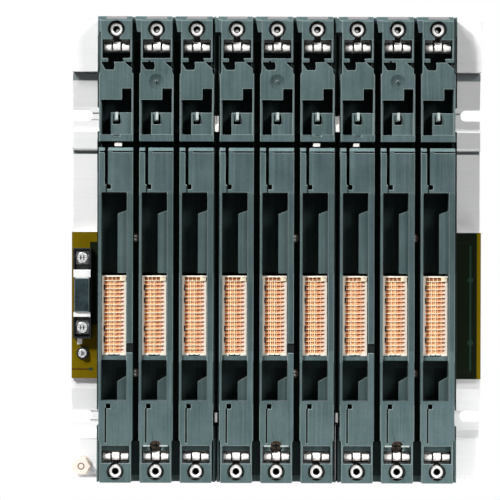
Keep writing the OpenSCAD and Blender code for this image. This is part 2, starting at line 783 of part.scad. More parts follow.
// One slot of a guide frame
module guide_slot(n) {
    plan(plate_d, face_d) difference() {
        face_outline();
        face_openings(n);
    }
    plan(back_d, web_d) difference() {
        wall_outline();
        if (is_middle(n)) translate([0, frame_screw_z]) circle(d = frame_head + 2 * frame_clear);
    }
    plan(web_d, plate_d) difference() {
        intersection() {
            wall_outline();
            face_outline();
        }
        open_pocket();
        if (is_middle(n)) translate([0, frame_screw_z]) circle(d = frame_head + 2 * frame_clear);
    }
    plan(land_d, back_d) for (z = [[upper_land_z, top_z], [bottom_z, lower_land_z]]) {
        span(-face_left, inner_left, z[0], z[1]);
        span(inner_right, face_right, z[0], z[1]);
    }
    plan(land_d - lip_reach, back_d) for (z = [bottom_z, top_z - lip_t])
        span(-face_left, face_right, z, z + lip_t);
    plan(back_d, floor_d) floor_outline(n);
    if (is_middle(n)) plan(land_d, back_d) difference() {
        translate([0, frame_screw_z]) circle(d = frame_head);
        translate([0, frame_screw_z]) circle(d = screw_dia + 2 * hole_clear);
    }
    plan(ledge_d - ledge_t, ledge_d) recess_ledges();
    plan(plate_d - face_t, plate_d) span(inner_left, recess_right, shelf_z, conn_bottom - frame_clear);
    plan(hook_plate_d - face_t, hook_plate_d) hook_plate();
    plan(hook_plate_d, hook_plate_d + hook_plate_drop / 2)
        span(-tongue_w / 2, tongue_w / 2, hook_band_z - tongue_h, hook_band_z);
    plan(plate_d - face_t, face_d + ledge_proud) span(-face_left, face_right, ledge_z, hook_z);
    plan(flange_d, flange_d + inner_wall) difference() {
        span(inner_left, inner_right, lower_window_top - brow_h, lower_window_top + inner_wall);
        if (is_middle(n)) translate([0, frame_screw_z]) circle(d = frame_head + 2 * frame_clear);
    }
}

// Ear beside the top of a slot, cut short at the end of a frame
module top_ear(reach) {
    plan(plate_d - face_t, face_d - ear_drop)
        polygon([[-face_left + 2 * end_step, top_z], [-reach, top_z], [-reach + ear_slant, top_z - ear_h],
                 [-face_left + 2 * end_step, top_z - ear_h]]);
}

// Floor and webs between slot n and the next slot of the same frame
module slot_webs(n) {
    left = face_right;
    right = slot_pitch - face_left;
    top_web = top_z - ear_h - top_web_fall;
    mid_web = hook_z + mid_web_rise;
    plan(back_d, web_d) span(left, right, top_web, top_z);
    plan(back_d, web_d) span(left, right, mid_web, mid_web + mid_web_h);
    plan(back_d, floor_d + foot_web_out) span(left, right, bottom_z, bottom_z + foot_web_h);
    plan(back_d, floor_d) span(left, right, bottom_z, top_z);
}

// What is cut from a finished slot: bevels, notches and the gate dimple
module slot_cuts(n) {
    section(-slot_pitch / 2 - ear_left, slot_pitch / 2)
        polygon([[face_d, top_z - top_bevel], [face_d + through, top_z - top_bevel],
                 [face_d + through, top_z + through], [face_d - top_bevel, top_z + through],
                 [face_d - top_bevel, top_z]]);
    section(bevel_notch_x, bevel_notch_x + bevel_notch_w)
        span(face_d - bevel_notch_t, face_d + through, top_z - bevel_notch_h, top_z + through);
    section(-face_left - through, face_right + through)
        polygon([[face_d, cross_z - cross_bevel], [face_d + through, cross_z - cross_bevel],
                 [face_d + through, cross_z], [face_d - cross_bevel, cross_z]]);
    plan(face_d - cross_slot_t, face_d + through)
        span(-face_left - through, face_right + through, cross_z, ledge_z);
    if (listed(n, notched_strip_slots))
        plan(face_d - strip_notch_t, face_d + through)
            span(recess_right, face_right + through,
                 conn_bottom + strip_notch_rise, conn_bottom + strip_notch_rise + strip_notch_h);
    if (listed(n, board_screw_slots)) for (z = board_screw_rows)
        bar(board_screw_x(n) - slot_x(n), z, screw_head + 2 * frame_clear,
            back_d - through, board_d + head_h + frame_clear);
    if (listed(n, notched_ledge_slots))
        plan(plate_d, face_d + ledge_proud + through)
            span(ledge_notch_left, ledge_notch_left + ledge_notch_w, hook_z - ledge_notch_h, hook_z + through);
    if (is_middle(n)) difference() {
        translate([0, -face_d - nudge, dimple_z]) rotate([-90, 0, 0])
            cylinder(d1 = dimple_dia, d2 = dimple_floor, h = dimple_t);
        bar(0, dimple_z, gate_dia, plate_d, face_d);
    }
}

// Front view of an end flange, notched beside the wall slots
module end_flange(x0, x1) {
    upper = wall_pitch / 2 + wall_slot_w / 2;
    lower = -wall_pitch / 2 + lower_notch_h / 2;
    span(x0, x1, bottom_z, lower - lower_notch_h);
    span(x0, x1, lower, upper - upper_notch_h);
    span(x0, x1, upper, top_z);
}

// One moulded guide frame of three slots
module guide_frame(f) {
    first = f * slots_per_frame + 1;
    last = first + slots_per_frame - 1;
    color(frame_grey) difference() {
        union() {
            for (n = [first : last]) translate([slot_x(n), 0, 0]) {
                guide_slot(n);
                top_ear(n == first ? face_left + flange_left : ear_left);
                if (n < last) slot_webs(n);
            }
            plan(land_d, flange_d) for (z = [[upper_land_z, top_z], [bottom_z, lower_land_z]]) {
                span(slot_x(first) - face_left - flange_left, slot_x(first) - face_left, z[0], z[1]);
                span(slot_x(last) + face_right, slot_x(last) + face_right + flange_right, z[0], z[1]);
            }
            plan(back_d, flange_d) {
                end_flange(slot_x(first) - face_left - flange_left, slot_x(first) - face_left);
                end_flange(slot_x(last) + face_right, slot_x(last) + face_right + flange_right);
            }
        }
        for (n = [first : last]) translate([slot_x(n), 0, 0]) slot_cuts(n);
    }
}

// Side view of one bowed spring finger about a centre height: riser, bow and free leg
module finger_section(z, bow, up) {
    front = bow_d - bow;
    difference() {
        union() {
            translate([front, z]) circle(bow);
            span(land_d, front, up > 0 ? z + bow - spring_t : z - bow, up > 0 ? z + bow : z - bow + spring_t);
            span(front - spring_leg, front,
                 up > 0 ? z - bow : z + bow - spring_t, up > 0 ? z - bow + spring_t : z + bow);
        }
        translate([front, z]) circle(bow - spring_t);
        span(front - bow - through, front, z - bow + spring_t, z + bow - spring_t);
    }
}

// Earthing spring: a ring under the bush, a tongue, a cross bar and three bowed fingers
module earth_spring(bush_z, z, bow, up) {
    riser = z + up * bow;
    width = 2 * finger_pitch + finger_w;
    plan(land_d, land_d + spring_t) difference() {
        union() {
            translate([0, bush_z]) circle(d = bush_dia + 2 * (bush_clear - ring_clear));
            span(-slit_w / 2, slit_w / 2, min(bush_z, riser), max(bush_z, riser));
            translate([window_shift - width / 2, up > 0 ? riser - spring_t : riser - spring_bar_h + spring_t])
                square([width, spring_bar_h]);
        }
        translate([0, bush_z]) circle(d = bush_root + 2 * hole_clear);
    }
    for (i = [-1 : 1]) {
        left = window_shift + i * finger_pitch - finger_w / 2;
        more = i == 0 ? middle_bow_more : 0;
        section(left, left + finger_w) finger_section(z + more, bow + more, up);
    }
}

module upper_earth_spring(n) {
    color([0.9, 0.88, 0.84]) translate([slot_x(n), 0, 0]) earth_spring(bush_top, upper_bow_z, upper_bow, 1);
}

module lower_earth_spring(n) {
    color([0.9, 0.88, 0.84]) translate([slot_x(n), 0, 0])
        earth_spring(bush_bottom, lower_bow_z, lower_bow, -1);
}

// A tapped bush, pressed into the land with its root and clamping the spring's ring
module threaded_bush(x, z) {
    difference() {
        union() {
            bar(x, z, bush_dia, bush_seat, bush_d);
            bar(x, z, bush_root, land_d - land_t, bush_seat);
        }
        bar(x, z, bush_bore, land_d - land_t + bush_floor, bush_d + through);
        translate([x, -bush_d - nudge, z]) rotate([-90, 0, 0])
            cylinder(d1 = bush_bore + 2 * bush_chamfer, d2 = bush_bore, h = bush_chamfer);
    }
}

module upper_threaded_bushes() {
    color(steel) for (n = [1 : slot_count]) threaded_bush(slot_x(n), bush_top);
}

module lower_threaded_bushes() {
    color(steel) for (n = [1 : slot_count]) threaded_bush(slot_x(n), bush_bottom);
}

// Centres of the contact cavities, column by column, from the housing's own centre
function contact_x(c) = -conn_shift + (c - (contact_columns - 1) / 2) * contact_pitch;
function contact_z(r) = conn_top - conn_h / 2 + contact_rise + (r - (contact_rows - 1) / 2) * contact_pitch;

// Connector housing with its grid of cavities and two coding blocks
module bus_connector(n) {
    left = -conn_shift - conn_w / 2;
    right = left + conn_w;
    block_w = 3;
    block_h = 1.1;
    block_out = 0.7;
    key_w = 6;
    key_h = 0.4;
    color([0.93, 0.87, 0.78]) translate([slot_x(n), 0, 0]) {
        plan(board_d, cavity_d) span(left, right, conn_bottom, conn_top);
        plan(cavity_d, conn_d) difference() {
            span(left, right, conn_bottom, conn_top);
            for (c = [0 : contact_columns - 1], r = [0 : contact_rows - 1])
                translate([contact_x(c), contact_z(r)]) square(cavity_w, center = true);
            span(-conn_shift - key_w / 2, -conn_shift + key_w / 2, conn_bottom - through, conn_bottom + key_h);
        }
        plan(conn_d, conn_d + block_out) {
            span(right - block_w, right, conn_top - block_h, conn_top);
            span(right - block_w, right, conn_bottom, conn_bottom + block_h);
        }
    }
}

// Gold contact forks, one in each cavity
module bus_contacts(n) {
    out = conn_d - contact_drop;
    fork_h = contact_w;
    color([0.86, 0.6, 0.36]) translate([slot_x(n), 0, 0])
        for (c = [0 : contact_columns - 1], r = [0 : contact_rows - 1])
            section(contact_x(c) - contact_w / 2, contact_x(c) + contact_w / 2)
                translate([0, contact_z(r)]) difference() {
                    span(cavity_d, out, -fork_h / 2, fork_h / 2);
                    span(cavity_d + contact_t, out + through, -fork_h / 2 + contact_t, fork_h / 2 - contact_t);
                }
}

// Insulating base of the reference terminal: a floor and two wells, open towards each other
module terminal_base() {
    left = terminal_x - terminal_w / 2;
    right = left + terminal_w;
    color([0.09, 0.1, 0.1]) difference() {
        union() {
            plan(board_d, board_d + terminal_floor) span(left, right, terminal_bottom, terminal_top);
            plan(board_d, rim_d) {
                span(left, right, upper_well_z, terminal_top);
                span(left, right, lower_well_z, lower_well_top);
            }
        }
        plan(seat_d, rim_d + through) {
            span(left + well_wall, right - well_wall, upper_well_z - through, terminal_top - well_wall);
            span(left + well_wall, right - well_wall, lower_well_z + well_wall, lower_well_top + through);
        }
        for (z = terminal_screw_rows)
            bar(terminal_x, z, screw_dia + 2 * hole_clear, board_d - through, seat_d + through);
    }
}

module terminal_clamps() {
    color(steel) plan(clamp_d, clamp_d + clamp_t) for (z = terminal_screw_rows) difference() {
        translate([terminal_x, z]) square(clamp_w, center = true);
        translate([terminal_x, z]) circle(d = screw_dia + 2 * hole_clear);
    }
}

module terminal_screws() {
    color(steel) for (z = terminal_screw_rows)
        screw(terminal_x, z, screw_dia, terminal_head, clamp_d + clamp_t, rib_d);
}

// Link bent from strip: a foot in each well, two risers, and a bridge that is necked for its sleeve
module jumper_link() {
    foot_ends = [terminal_screw_rows[0] + clamp_w / 2, terminal_screw_rows[1] - clamp_w / 2];
    half_bar = link_bar_w / 2;
    color([0.88, 0.88, 0.86]) difference() {
        union() {
            plan(seat_d, seat_d + link_t) {
                span(terminal_x - link_w / 2, terminal_x + link_w / 2, link_top - link_t, foot_ends[0]);
                span(terminal_x - link_w / 2, terminal_x + link_w / 2, foot_ends[1], link_bottom + link_t);
            }
            plan(seat_d, rim_d + link_t) {
                span(terminal_x - half_bar, terminal_x + half_bar, link_top - link_t, link_top);
                span(terminal_x - half_bar, terminal_x + half_bar, link_bottom, link_bottom + link_t);
            }
            plan(rim_d, rim_d + link_t) {
                span(terminal_x - half_bar, terminal_x + half_bar, sleeve_top + sleeve_gap, link_top);
                span(terminal_x - half_bar, terminal_x + half_bar,
                     link_bottom, sleeve_top - sleeve_h - sleeve_gap);
                span(terminal_x - link_neck_w / 2, terminal_x + link_neck_w / 2, link_bottom, link_top);
            }
        }
        for (z = terminal_screw_rows)
            bar(terminal_x, z, screw_dia + 2 * hole_clear, board_d, rim_d);
    }
}

// Insulating grip around the neck of the link
module jumper_sleeve() {
    hole_w = link_neck_w + 2 * sleeve_gap;
    color([0.1, 0.11, 0.11]) difference() {
        plan(rim_d - sleeve_under, rim_d + link_t + sleeve_out)
            span(terminal_x - sleeve_w / 2, terminal_x + sleeve_w / 2, sleeve_top - sleeve_h, sleeve_top);
        plan(rim_d - sleeve_gap, rim_d + link_t + sleeve_gap)
            span(terminal_x - hole_w / 2, terminal_x + hole_w / 2,
                 sleeve_top - sleeve_h - through, sleeve_top + through);
    }
}

module earth_screw() {
    color(steel) screw(terminal_x, earth_screw_z, earth_dia, earth_head, board_d + earth_washer_t, 0);
}

// Fibre washer between the head of the earth screw and the board
module earth_washer() {
    color([0.08, 0.09, 0.09]) difference() {
        bar(terminal_x, earth_screw_z, earth_washer_dia, board_d, board_d + earth_washer_t);
        bar(terminal_x, earth_screw_z, earth_dia + 2 * hole_clear,
            board_d - through, board_d + earth_washer_t + through);
    }
}

// Tube that carries the board at the earth screw and joins it to the web
module earth_spacer() {
    color(steel) difference() {
        bar(terminal_x, earth_screw_z, earth_spacer_dia, web_t, rib_d);
        bar(terminal_x, earth_screw_z, earth_dia + 2 * hole_clear, web_t - through, rib_d + through);
    }
}

module ground_flat_washer() {
    color(steel) difference() {
        bar(ground_x, ground_z, ground_washer, land_d, land_d + ground_washer_t);
        bar(ground_x, ground_z, ground_dia + 2 * hole_clear,
            land_d - through, land_d + ground_washer_t + through);
    }
}

// Split lock washer, cut through on one side
module ground_lock_washer() {
    seat = land_d + ground_washer_t;
    split = 0.8;
    color(steel) difference() {
        bar(ground_x, ground_z, ground_lock_dia, seat, seat + ground_lock_t);
        bar(ground_x, ground_z, ground_dia + 2 * hole_clear, seat - through, seat + ground_lock_t + through);
        plan(seat - through, seat + ground_lock_t + through)
            span(ground_x - split / 2, ground_x + split / 2, ground_z, ground_z + ground_lock_dia);
    }
}

// Hexagon bolt with a cross recess, tapped into the lower land
module ground_bolt() {
    seat = land_d + ground_washer_t + ground_lock_t;
    color(steel) {
        translate([ground_x, -seat, ground_z]) rotate([90, 0, 0])
            cylinder(d = ground_flats / cos(30), h = ground_head_h, $fn = 6);
        bar(ground_x, ground_z, ground_dia, land_d - land_t - ground_tail, seat);
    }
}

mounting_profile();
backplane_board();
board_screws();
guide_frame_screws();
for (f = [0 : len(frames) - 1])
    guide_frame(f);
for (n = [1 : slot_count]) {
    bus_connector(n);
    bus_contacts(n);
    upper_earth_spring(n);
    lower_earth_spring(n);
}
upper_threaded_bushes();
lower_threaded_bushes();
terminal_base();
terminal_clamps();
terminal_screws();
jumper_link();
jumper_sleeve();
earth_screw();
earth_washer();
earth_spacer();
ground_bolt();
ground_lock_washer();
ground_flat_washer();
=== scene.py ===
import math

import bmesh
import bpy
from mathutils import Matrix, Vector


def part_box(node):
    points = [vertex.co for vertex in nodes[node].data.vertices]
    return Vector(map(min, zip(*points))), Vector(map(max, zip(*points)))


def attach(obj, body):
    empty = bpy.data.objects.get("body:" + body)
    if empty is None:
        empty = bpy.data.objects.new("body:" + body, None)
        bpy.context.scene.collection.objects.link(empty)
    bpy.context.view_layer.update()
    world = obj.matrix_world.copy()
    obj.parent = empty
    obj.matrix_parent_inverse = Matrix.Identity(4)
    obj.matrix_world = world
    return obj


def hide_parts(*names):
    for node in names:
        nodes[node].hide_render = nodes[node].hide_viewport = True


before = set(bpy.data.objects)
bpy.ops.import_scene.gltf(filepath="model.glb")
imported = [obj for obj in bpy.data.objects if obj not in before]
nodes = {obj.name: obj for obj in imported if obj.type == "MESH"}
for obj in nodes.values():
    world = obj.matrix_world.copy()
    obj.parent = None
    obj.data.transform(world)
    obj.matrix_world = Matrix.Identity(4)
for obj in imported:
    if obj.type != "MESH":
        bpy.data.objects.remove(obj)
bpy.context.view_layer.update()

# The mounting profile
# One aluminium extrusion carries the whole rack, sawn to length and left in its satin mill
# finish, with die lines from end to end. A stiffening bar with a sloping lower side runs along it
# below the board, and the web is thicker under the upper land. A band of painted shadow darkens
# the web under the upper land, and a narrow line of painted shadow lies under the rail.

mm = 0.001
rack_half = 128.7
bar_section = [(3.6, -67.6), (8.8, -67.6), (8.8, -77.5), (2.95, -91.2), (2.95, -84.0), (3.6, -84.0)]
web_section = [(2.95, 99.5), (6.0, 119.5), (6.0, 121.0), (2.95, 121.0)]
die_stretch = (4.0, 700.0, 700.0)
cloud_share = 0.45
grain_share = 0.4
sharp_angle = 35
weld_gap = 2e-6
same_point = 1e-7
aluminium_tones = ((0.82, 0.83, 0.83), (0.95, 0.95, 0.94))
# Painted shadow: the tone and the boxes of the dark band under the upper land and the line under the rail.
painted_shadow_tone = (0.24, 0.27, 0.28, 1.0)
land_shadow_box = ((-1.0, -0.0080, 0.1165), (1.0, 0.0, 0.1212))
rail_shadow_box = ((-1.0, -0.0080, 0.0702), (1.0, 0.0, 0.0723))


def feed(tree, socket, value):
    """Sets a socket to a value, or links another socket to it."""
    if isinstance(value, bpy.types.NodeSocket):
        tree.links.new(value, socket)
    else:
        socket.default_value = value


def wire(tree, node, **inputs):
    """Sets the inputs of a node by name, to values or to links from other nodes."""
    for name, value in inputs.items():
        feed(tree, node.inputs[name.replace("_", " ")], value)
    return node


def add(tree, kind, **inputs):
    """A new node of that kind, with its inputs set by name."""
    return wire(tree, tree.nodes.new(kind), **inputs)


def maths(tree, operation, *values):
    """The result of a sum on values or links."""
    node = tree.nodes.new("ShaderNodeMath")
    node.operation = operation
    for socket, value in zip(node.inputs, values):
        feed(tree, socket, value)
    return node.outputs[0]


def blend(tree, share, first, second):
    """A value between two others, by the share of the second."""
    return add(tree, "ShaderNodeMix", Factor=share, A=first, B=second).outputs["Result"]


def spread(tree, value, **limits):
    """A value carried from one range to another."""
    return add(tree, "ShaderNodeMapRange", Value=value, **limits).outputs["Result"]


def two_tone(tree, factor, dark, light):
    """Colour between two tones by a mask."""
    ramp = add(tree, "ShaderNodeValToRGB", Fac=factor)
    ramp.color_ramp.elements[0].color = (*dark, 1)
    ramp.color_ramp.elements[1].color = (*light, 1)
    return ramp.outputs["Color"]


def mix_colour(tree, factor, first, second):
    """The second colour where the mask is one, and the first elsewhere."""
    node = tree.nodes.new("ShaderNodeMix")
    node.data_type = "RGBA"
    for place, value in ((0, factor), (6, first), (7, second)):
        feed(tree, node.inputs[place], value)
    return node.outputs[2]


def new_group(name, inputs, outputs, kind="ShaderNodeTree"):
    """A node group with named sockets, and its entry and its exit."""
    group = bpy.data.node_groups.new(name, kind)
    for side, sockets in (("INPUT", inputs), ("OUTPUT", outputs)):
        for label, socket in sockets.items():
            group.interface.new_socket(label, in_out=side, socket_type="NodeSocket" + socket)
    return group, group.nodes.new("NodeGroupInput").outputs, group.nodes.new("NodeGroupOutput")


def grain_group():
    """Fine even grain on Object coordinates: a tone about one half and a height."""
    group, entry, leave = new_group(
        "fine_grain", {"Vector": "Vector", "Grain Scale": "Float", "Cloud Scale": "Float"},
        {"Tone": "Float", "Height": "Float"})
    fine = add(group, "ShaderNodeTexNoise", Vector=entry["Vector"], Scale=entry["Grain Scale"],
               Detail=3.0, Roughness=0.6).outputs["Fac"]
    cloud = add(group, "ShaderNodeTexNoise", Vector=entry["Vector"], Scale=entry["Cloud Scale"],
                Detail=4.0, Roughness=0.65).outputs["Fac"]
    wire(group, leave, Tone=blend(group, grain_share, cloud, fine), Height=fine)
    return group


def line_group():
    """Fine lines along one axis: noise on Object coordinates, drawn out by a scale on each axis."""
    group, entry, leave = new_group(
        "fine_lines", {"Vector": "Vector", "Stretch": "Vector", "Detail": "Float"}, {"Lines": "Float"})
    drawn = add(group, "ShaderNodeMapping", Vector=entry["Vector"], Scale=entry["Stretch"])
    noise = add(group, "ShaderNodeTexNoise", Vector=drawn.outputs["Vector"], Scale=1.0,
                Detail=entry["Detail"])
    wire(group, leave, Lines=noise.outputs["Fac"])
    return group


def wrapped(group, across, pitch):
    """The place along X inside one pitch, about the pitch's middle."""
    half = maths(group, "MULTIPLY", pitch, 0.5)
    return maths(group, "WRAP", across, half, maths(group, "MULTIPLY", half, -1.0))


def box_mask_group():
    """One inside a box of the rack's frame, and nought outside; the box repeats along X by the pitch."""
    group, entry, leave = new_group(
        "box_mask", {"Vector": "Vector", "Low": "Vector", "High": "Vector", "Pitch": "Float"},
        {"Mask": "Float", "Across": "Float"})
    point, low, high = [add(group, "ShaderNodeSeparateXYZ", Vector=entry[label]).outputs
                        for label in ("Vector", "Low", "High")]
    local = wrapped(group, point["X"], entry["Pitch"])
    mask = None
    for axis, value in (("X", local), ("Y", point["Y"]), ("Z", point["Z"])):
        above = maths(group, "GREATER_THAN", value, low[axis])
        below = maths(group, "LESS_THAN", value, high[axis])
        inside = maths(group, "MULTIPLY", above, below)
        mask = maths(group, "MULTIPLY", mask, inside) if mask else inside
    span = maths(group, "SUBTRACT", high["X"], low["X"])
    across = maths(group, "DIVIDE", maths(group, "SUBTRACT", local, low["X"]), span)
    wire(group, leave, Mask=mask, Across=across)
    return group


def place_group(tree, group, **inputs):
    """Places a node group in a material, on the piece's own coordinates in metres of the frame."""
    node = tree.nodes.new("ShaderNodeGroup")
    node.node_tree = group
    own = tree.nodes.new("ShaderNodeTexCoord").outputs["Object"]
    return wire(tree, node, Vector=own, **inputs).outputs


def grain(tree, grain_scale, cloud_scale):
    """The tone and the height of the grain in a material."""
    return place_group(tree, fine_grain, Grain_Scale=grain_scale, Cloud_Scale=cloud_scale)


def drawn_lines(tree, stretch, detail):
    """The fine lines in a material."""
    return place_group(tree, fine_lines, Stretch=stretch, Detail=detail)["Lines"]


def box_mask(tree, low, high, pitch=1.0):
    """The box mask in a material, which repeats where a pitch is given."""
    return place_group(tree, box_mask_tree, Low=low, High=high, Pitch=pitch)


def bump(tree, height, strength, distance):
    """A normal from a height mask."""
    return add(tree, "ShaderNodeBump", Strength=strength, Distance=distance, Height=height).outputs["Normal"]


def new_material(name):
    """A material that holds only its shader and its output."""
    material = bpy.data.materials.new(name)
    material.use_nodes = True
    tree = material.node_tree
    return material, tree, tree.nodes["Principled BSDF"]


def soften(name, radius, segments=2, edge_slot=-1):
    """Breaks the sharp edges of a CAD node, as a die, a mould or a file leaves them."""
    piece = nodes[name]
    merge = piece.modifiers.new("merge", "WELD")
    merge.merge_threshold = weld_gap
    edge = piece.modifiers.new("edge", "BEVEL")
    edge.width = radius * mm
    edge.segments = segments
    edge.limit_method = "ANGLE"
    edge.angle_limit = math.radians(sharp_angle)
    edge.use_clamp_overlap = False
    edge.material = edge_slot


def finish(name, *materials):
    """Gives a CAD node its material, and one for its broken edges where there is a second."""
    mesh = nodes[name].data
    mesh.materials.clear()
    for material in materials:
        mesh.materials.append(material)


def place_piece(name, mesh, material):
    """Puts a new piece on the rack with its material."""
    mesh.name = name
    if material:
        mesh.materials.clear()
        mesh.materials.append(material)
    piece = bpy.data.objects.new(name, mesh)
    bpy.context.scene.collection.objects.link(piece)
    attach(piece, "root")
    return piece


def closed_mesh(name, points, faces):
    """A closed mesh from points in millimetres, with its faces turned outwards."""
    mesh = bpy.data.meshes.new(name)
    mesh.from_pydata([tuple(value * mm for value in point) for point in points], [], faces)
    form = bmesh.new()
    form.from_mesh(mesh)
    bmesh.ops.remove_doubles(form, verts=form.verts[:], dist=same_point)
    bmesh.ops.recalc_face_normals(form, faces=form.faces[:])
    form.to_mesh(mesh)
    form.free()
    return mesh


def drawn_out(name, section, left, right):
    """A section in depth and height, drawn out along the rack."""
    count = len(section)
    points = [(x, -depth, z) for x in (left, right) for depth, z in section]
    faces = [tuple(range(count)), tuple(range(count, 2 * count))]
    for k in range(count):
        after = (k + 1) % count
        faces.append((k, after, after + count, k + count))
    return closed_mesh(name, points, faces)


fine_grain = grain_group()
fine_lines = line_group()
box_mask_tree = box_mask_group()

mill_aluminium, tree, shader = new_material("mill_aluminium")
lines = drawn_lines(tree, die_stretch, detail=4.0)
cloud = grain(tree, grain_scale=1800.0, cloud_scale=22.0)["Tone"]
colour = two_tone(tree, blend(tree, cloud_share, lines, cloud), *aluminium_tones)
# Painted shadow under the upper land and under the rail.
for low, high in (land_shadow_box, rail_shadow_box):
    colour = mix_colour(tree, box_mask(tree, low, high)["Mask"], colour, painted_shadow_tone)
wire(tree, shader, Base_Color=colour, Metallic=0.15, Roughness=spread(tree, lines, To_Min=0.34, To_Max=0.48),
     Normal=bump(tree, lines, strength=0.25, distance=0.00005))
soften("mounting_profile", radius=0.3)
finish("mounting_profile", mill_aluminium)
for name, section in (("stiffening_bar", bar_section), ("thick_web", web_section)):
    mesh = drawn_out(name, section, -rack_half, rack_half)
    place_piece(name, mesh, mill_aluminium)

# The backplane board
# A long glass laminate lies on the two ribs of the profile. Its copper field runs to both sides
# under solder resist and leaves the ochre laminate bare along the ends, where a few tracks and two
# plated eyes show. The field is painted near black: it stands for the resisted copper and for the
# shade that the frames and the terminal cast on it, and its right end lies where that shade ends.

board_front = 12.0
track_rise = 0.05
track_edge = 0.02
shaded_field_box = ((-0.1035, -1.0, -1.0), (0.1260, 1.0, 1.0))
left_shaded_field_box = ((-0.1172, -1.0, -0.0375), (-0.1030, 1.0, 0.0145))
dark_tracks = [((111.5, 14.2), (122.6, 14.8)), ((111.5, -67.0), (122.6, -66.4))]
brown_tracks = [((-128.4, -65.9), (-117.6, -64.9))]
green_tracks = [((121.4, -66.0), (122.5, 12.6)), ((-117.6, -66.2), (-115.2, -64.4))]
eye_places = [(122.0, -8.8), (122.0, -48.4)]
eye_radius = 1.8
glass_stretch = (900.0, 900.0, 25.0)
laminate_tones = ((0.115, 0.075, 0.001), (0.19, 0.132, 0.002))
laminate_green = (0.07, 0.09, 0.004, 1.0)
shaded_field_tones = ((0.004, 0.0075, 0.003), (0.009, 0.0145, 0.0065))
dark_tones = ((0.001, 0.003, 0.001), (0.004, 0.007, 0.003))
brown_tones = ((0.05, 0.02, 0.001), (0.09, 0.045, 0.002))
green_tones = ((0.008, 0.03, 0.018), (0.018, 0.055, 0.035))


def plain_finish(name, scales, tones, roughness, metallic=0.0, specular=0.5):
    """A material of one grained skin in two tones, with an even gloss."""
    material, tree, shader = new_material(name)
    colour = two_tone(tree, grain(tree, *scales)["Tone"], *tones)
    wire(tree, shader, Base_Color=colour, Roughness=roughness, Metallic=metallic, Specular_IOR_Level=specular)
    return material


def chamfered_boxes(name, boxes, edge):
    """Boxes given by low and high corners in millimetres, with broken edges, as one mesh."""
    form = bmesh.new()
    for low, high in boxes:
        corners = bmesh.ops.create_cube(form, size=1.0)["verts"]
        for corner in corners:
            corner.co = Vector(mm * (a + b + 2 * c * (b - a)) / 2 for a, b, c in zip(low, high, corner.co))
    bmesh.ops.bevel(form, geom=form.edges[:], offset=edge * mm, segments=1, affect="EDGES")
    bmesh.ops.recalc_face_normals(form, faces=form.faces[:])
    mesh = bpy.data.meshes.new(name)
    form.to_mesh(mesh)
    form.free()
    return mesh


def on_board(corners):
    """A strip of copper on the board's front between two corners."""
    (left, bottom), (right, top) = corners
    return ((left, -board_front - track_rise, bottom), (right, -board_front + track_rise, top))


def round_studs(name, centres, radius, back, front, sides=24):
    """Flat round studs of one radius, from one depth to another, as one mesh."""
    points, faces = [], []
    for x, z in centres:
        start = len(points)
        for depth in (back, front):
            for step in range(sides):
                turn = math.tau * step / sides
                points.append((x + radius * math.cos(turn), -depth, z + radius * math.sin(turn)))
        faces.append(tuple(range(start, start + sides)))
        faces.append(tuple(range(start + sides, start + 2 * sides)))
        for step in range(sides):
            after = (step + 1) % sides
            faces.append((start + step, start + after, start + sides + after, start + sides + step))
    return closed_mesh(name, points, faces)


ochre_laminate, tree, shader = new_material("ochre_laminate")
cloth = grain(tree, grain_scale=900.0, cloud_scale=60.0)
streaks = drawn_lines(tree, glass_stretch, detail=2.0)
green = spread(tree, streaks, From_Min=0.52, From_Max=0.75, To_Max=0.4)
colour = mix_colour(tree, green, two_tone(tree, cloth["Tone"], *laminate_tones), laminate_green)
# Painted shade: the near-black field stands for resisted copper and for the shade of the frames and the
# terminal.
shaded_field = two_tone(tree, cloth["Tone"], *shaded_field_tones)
for low, high in (shaded_field_box, left_shaded_field_box):
    colour = mix_colour(tree, box_mask(tree, low, high)["Mask"], colour, shaded_field)
wire(tree, shader, Base_Color=colour, Roughness=0.45, Specular_IOR_Level=0.04,
     Normal=bump(tree, cloth["Height"], strength=0.15, distance=0.00005))
finish("backplane_board", ochre_laminate)

resists = {}
for hue, strips, tones in (("dark", dark_tracks, dark_tones),
                           ("brown", brown_tracks, brown_tones),
                           ("green", green_tracks, green_tones)):
    resists[hue] = plain_finish(hue + "_resist", (900.0, 90.0), tones, roughness=0.4, specular=0.15)
    mesh = chamfered_boxes(hue + "_tracks", [on_board(strip) for strip in strips], track_edge)
    place_piece(hue + "_tracks", mesh, resists[hue])
mesh = round_studs("plated_eyes", eye_places, eye_radius, board_front, board_front + 2 * track_rise)
place_piece("plated_eyes", mesh, resists["green"])

# The earthing springs
# Each slot has two springs, cut and bowed from tinned spring sheet and clamped on their lands by
# the bushes. Three fingers stand in the window of the frame, wiped bright by the modules; the root
# and every part of the tinned sheet that lies deep in the window is painted dark as shade. The
# tinned pad at the left end of the board has the same bright skin.

slot_numbers = range(1, 10)
slot_pitch = 25.0
tin_tones = ((0.9, 0.85, 0.81), (1.0, 0.97, 0.94))
deep_shade_tone = (0.03, 0.02, 0.017, 1.0)
deep_shade_box = ((-0.1120, -0.0172, -1.0), (0.1120, 0.0, 1.0))
tinned_pad = ((-125.0, -49.8), (-121.9, -46.3))


def slot_x(n):
    """The middle of a slot along the rack."""
    return (n - 5) * slot_pitch


tinned_spring, tree, shader = new_material("tinned_spring")
rub = grain(tree, grain_scale=1500.0, cloud_scale=180.0)
tin = two_tone(tree, rub["Tone"], *tin_tones)
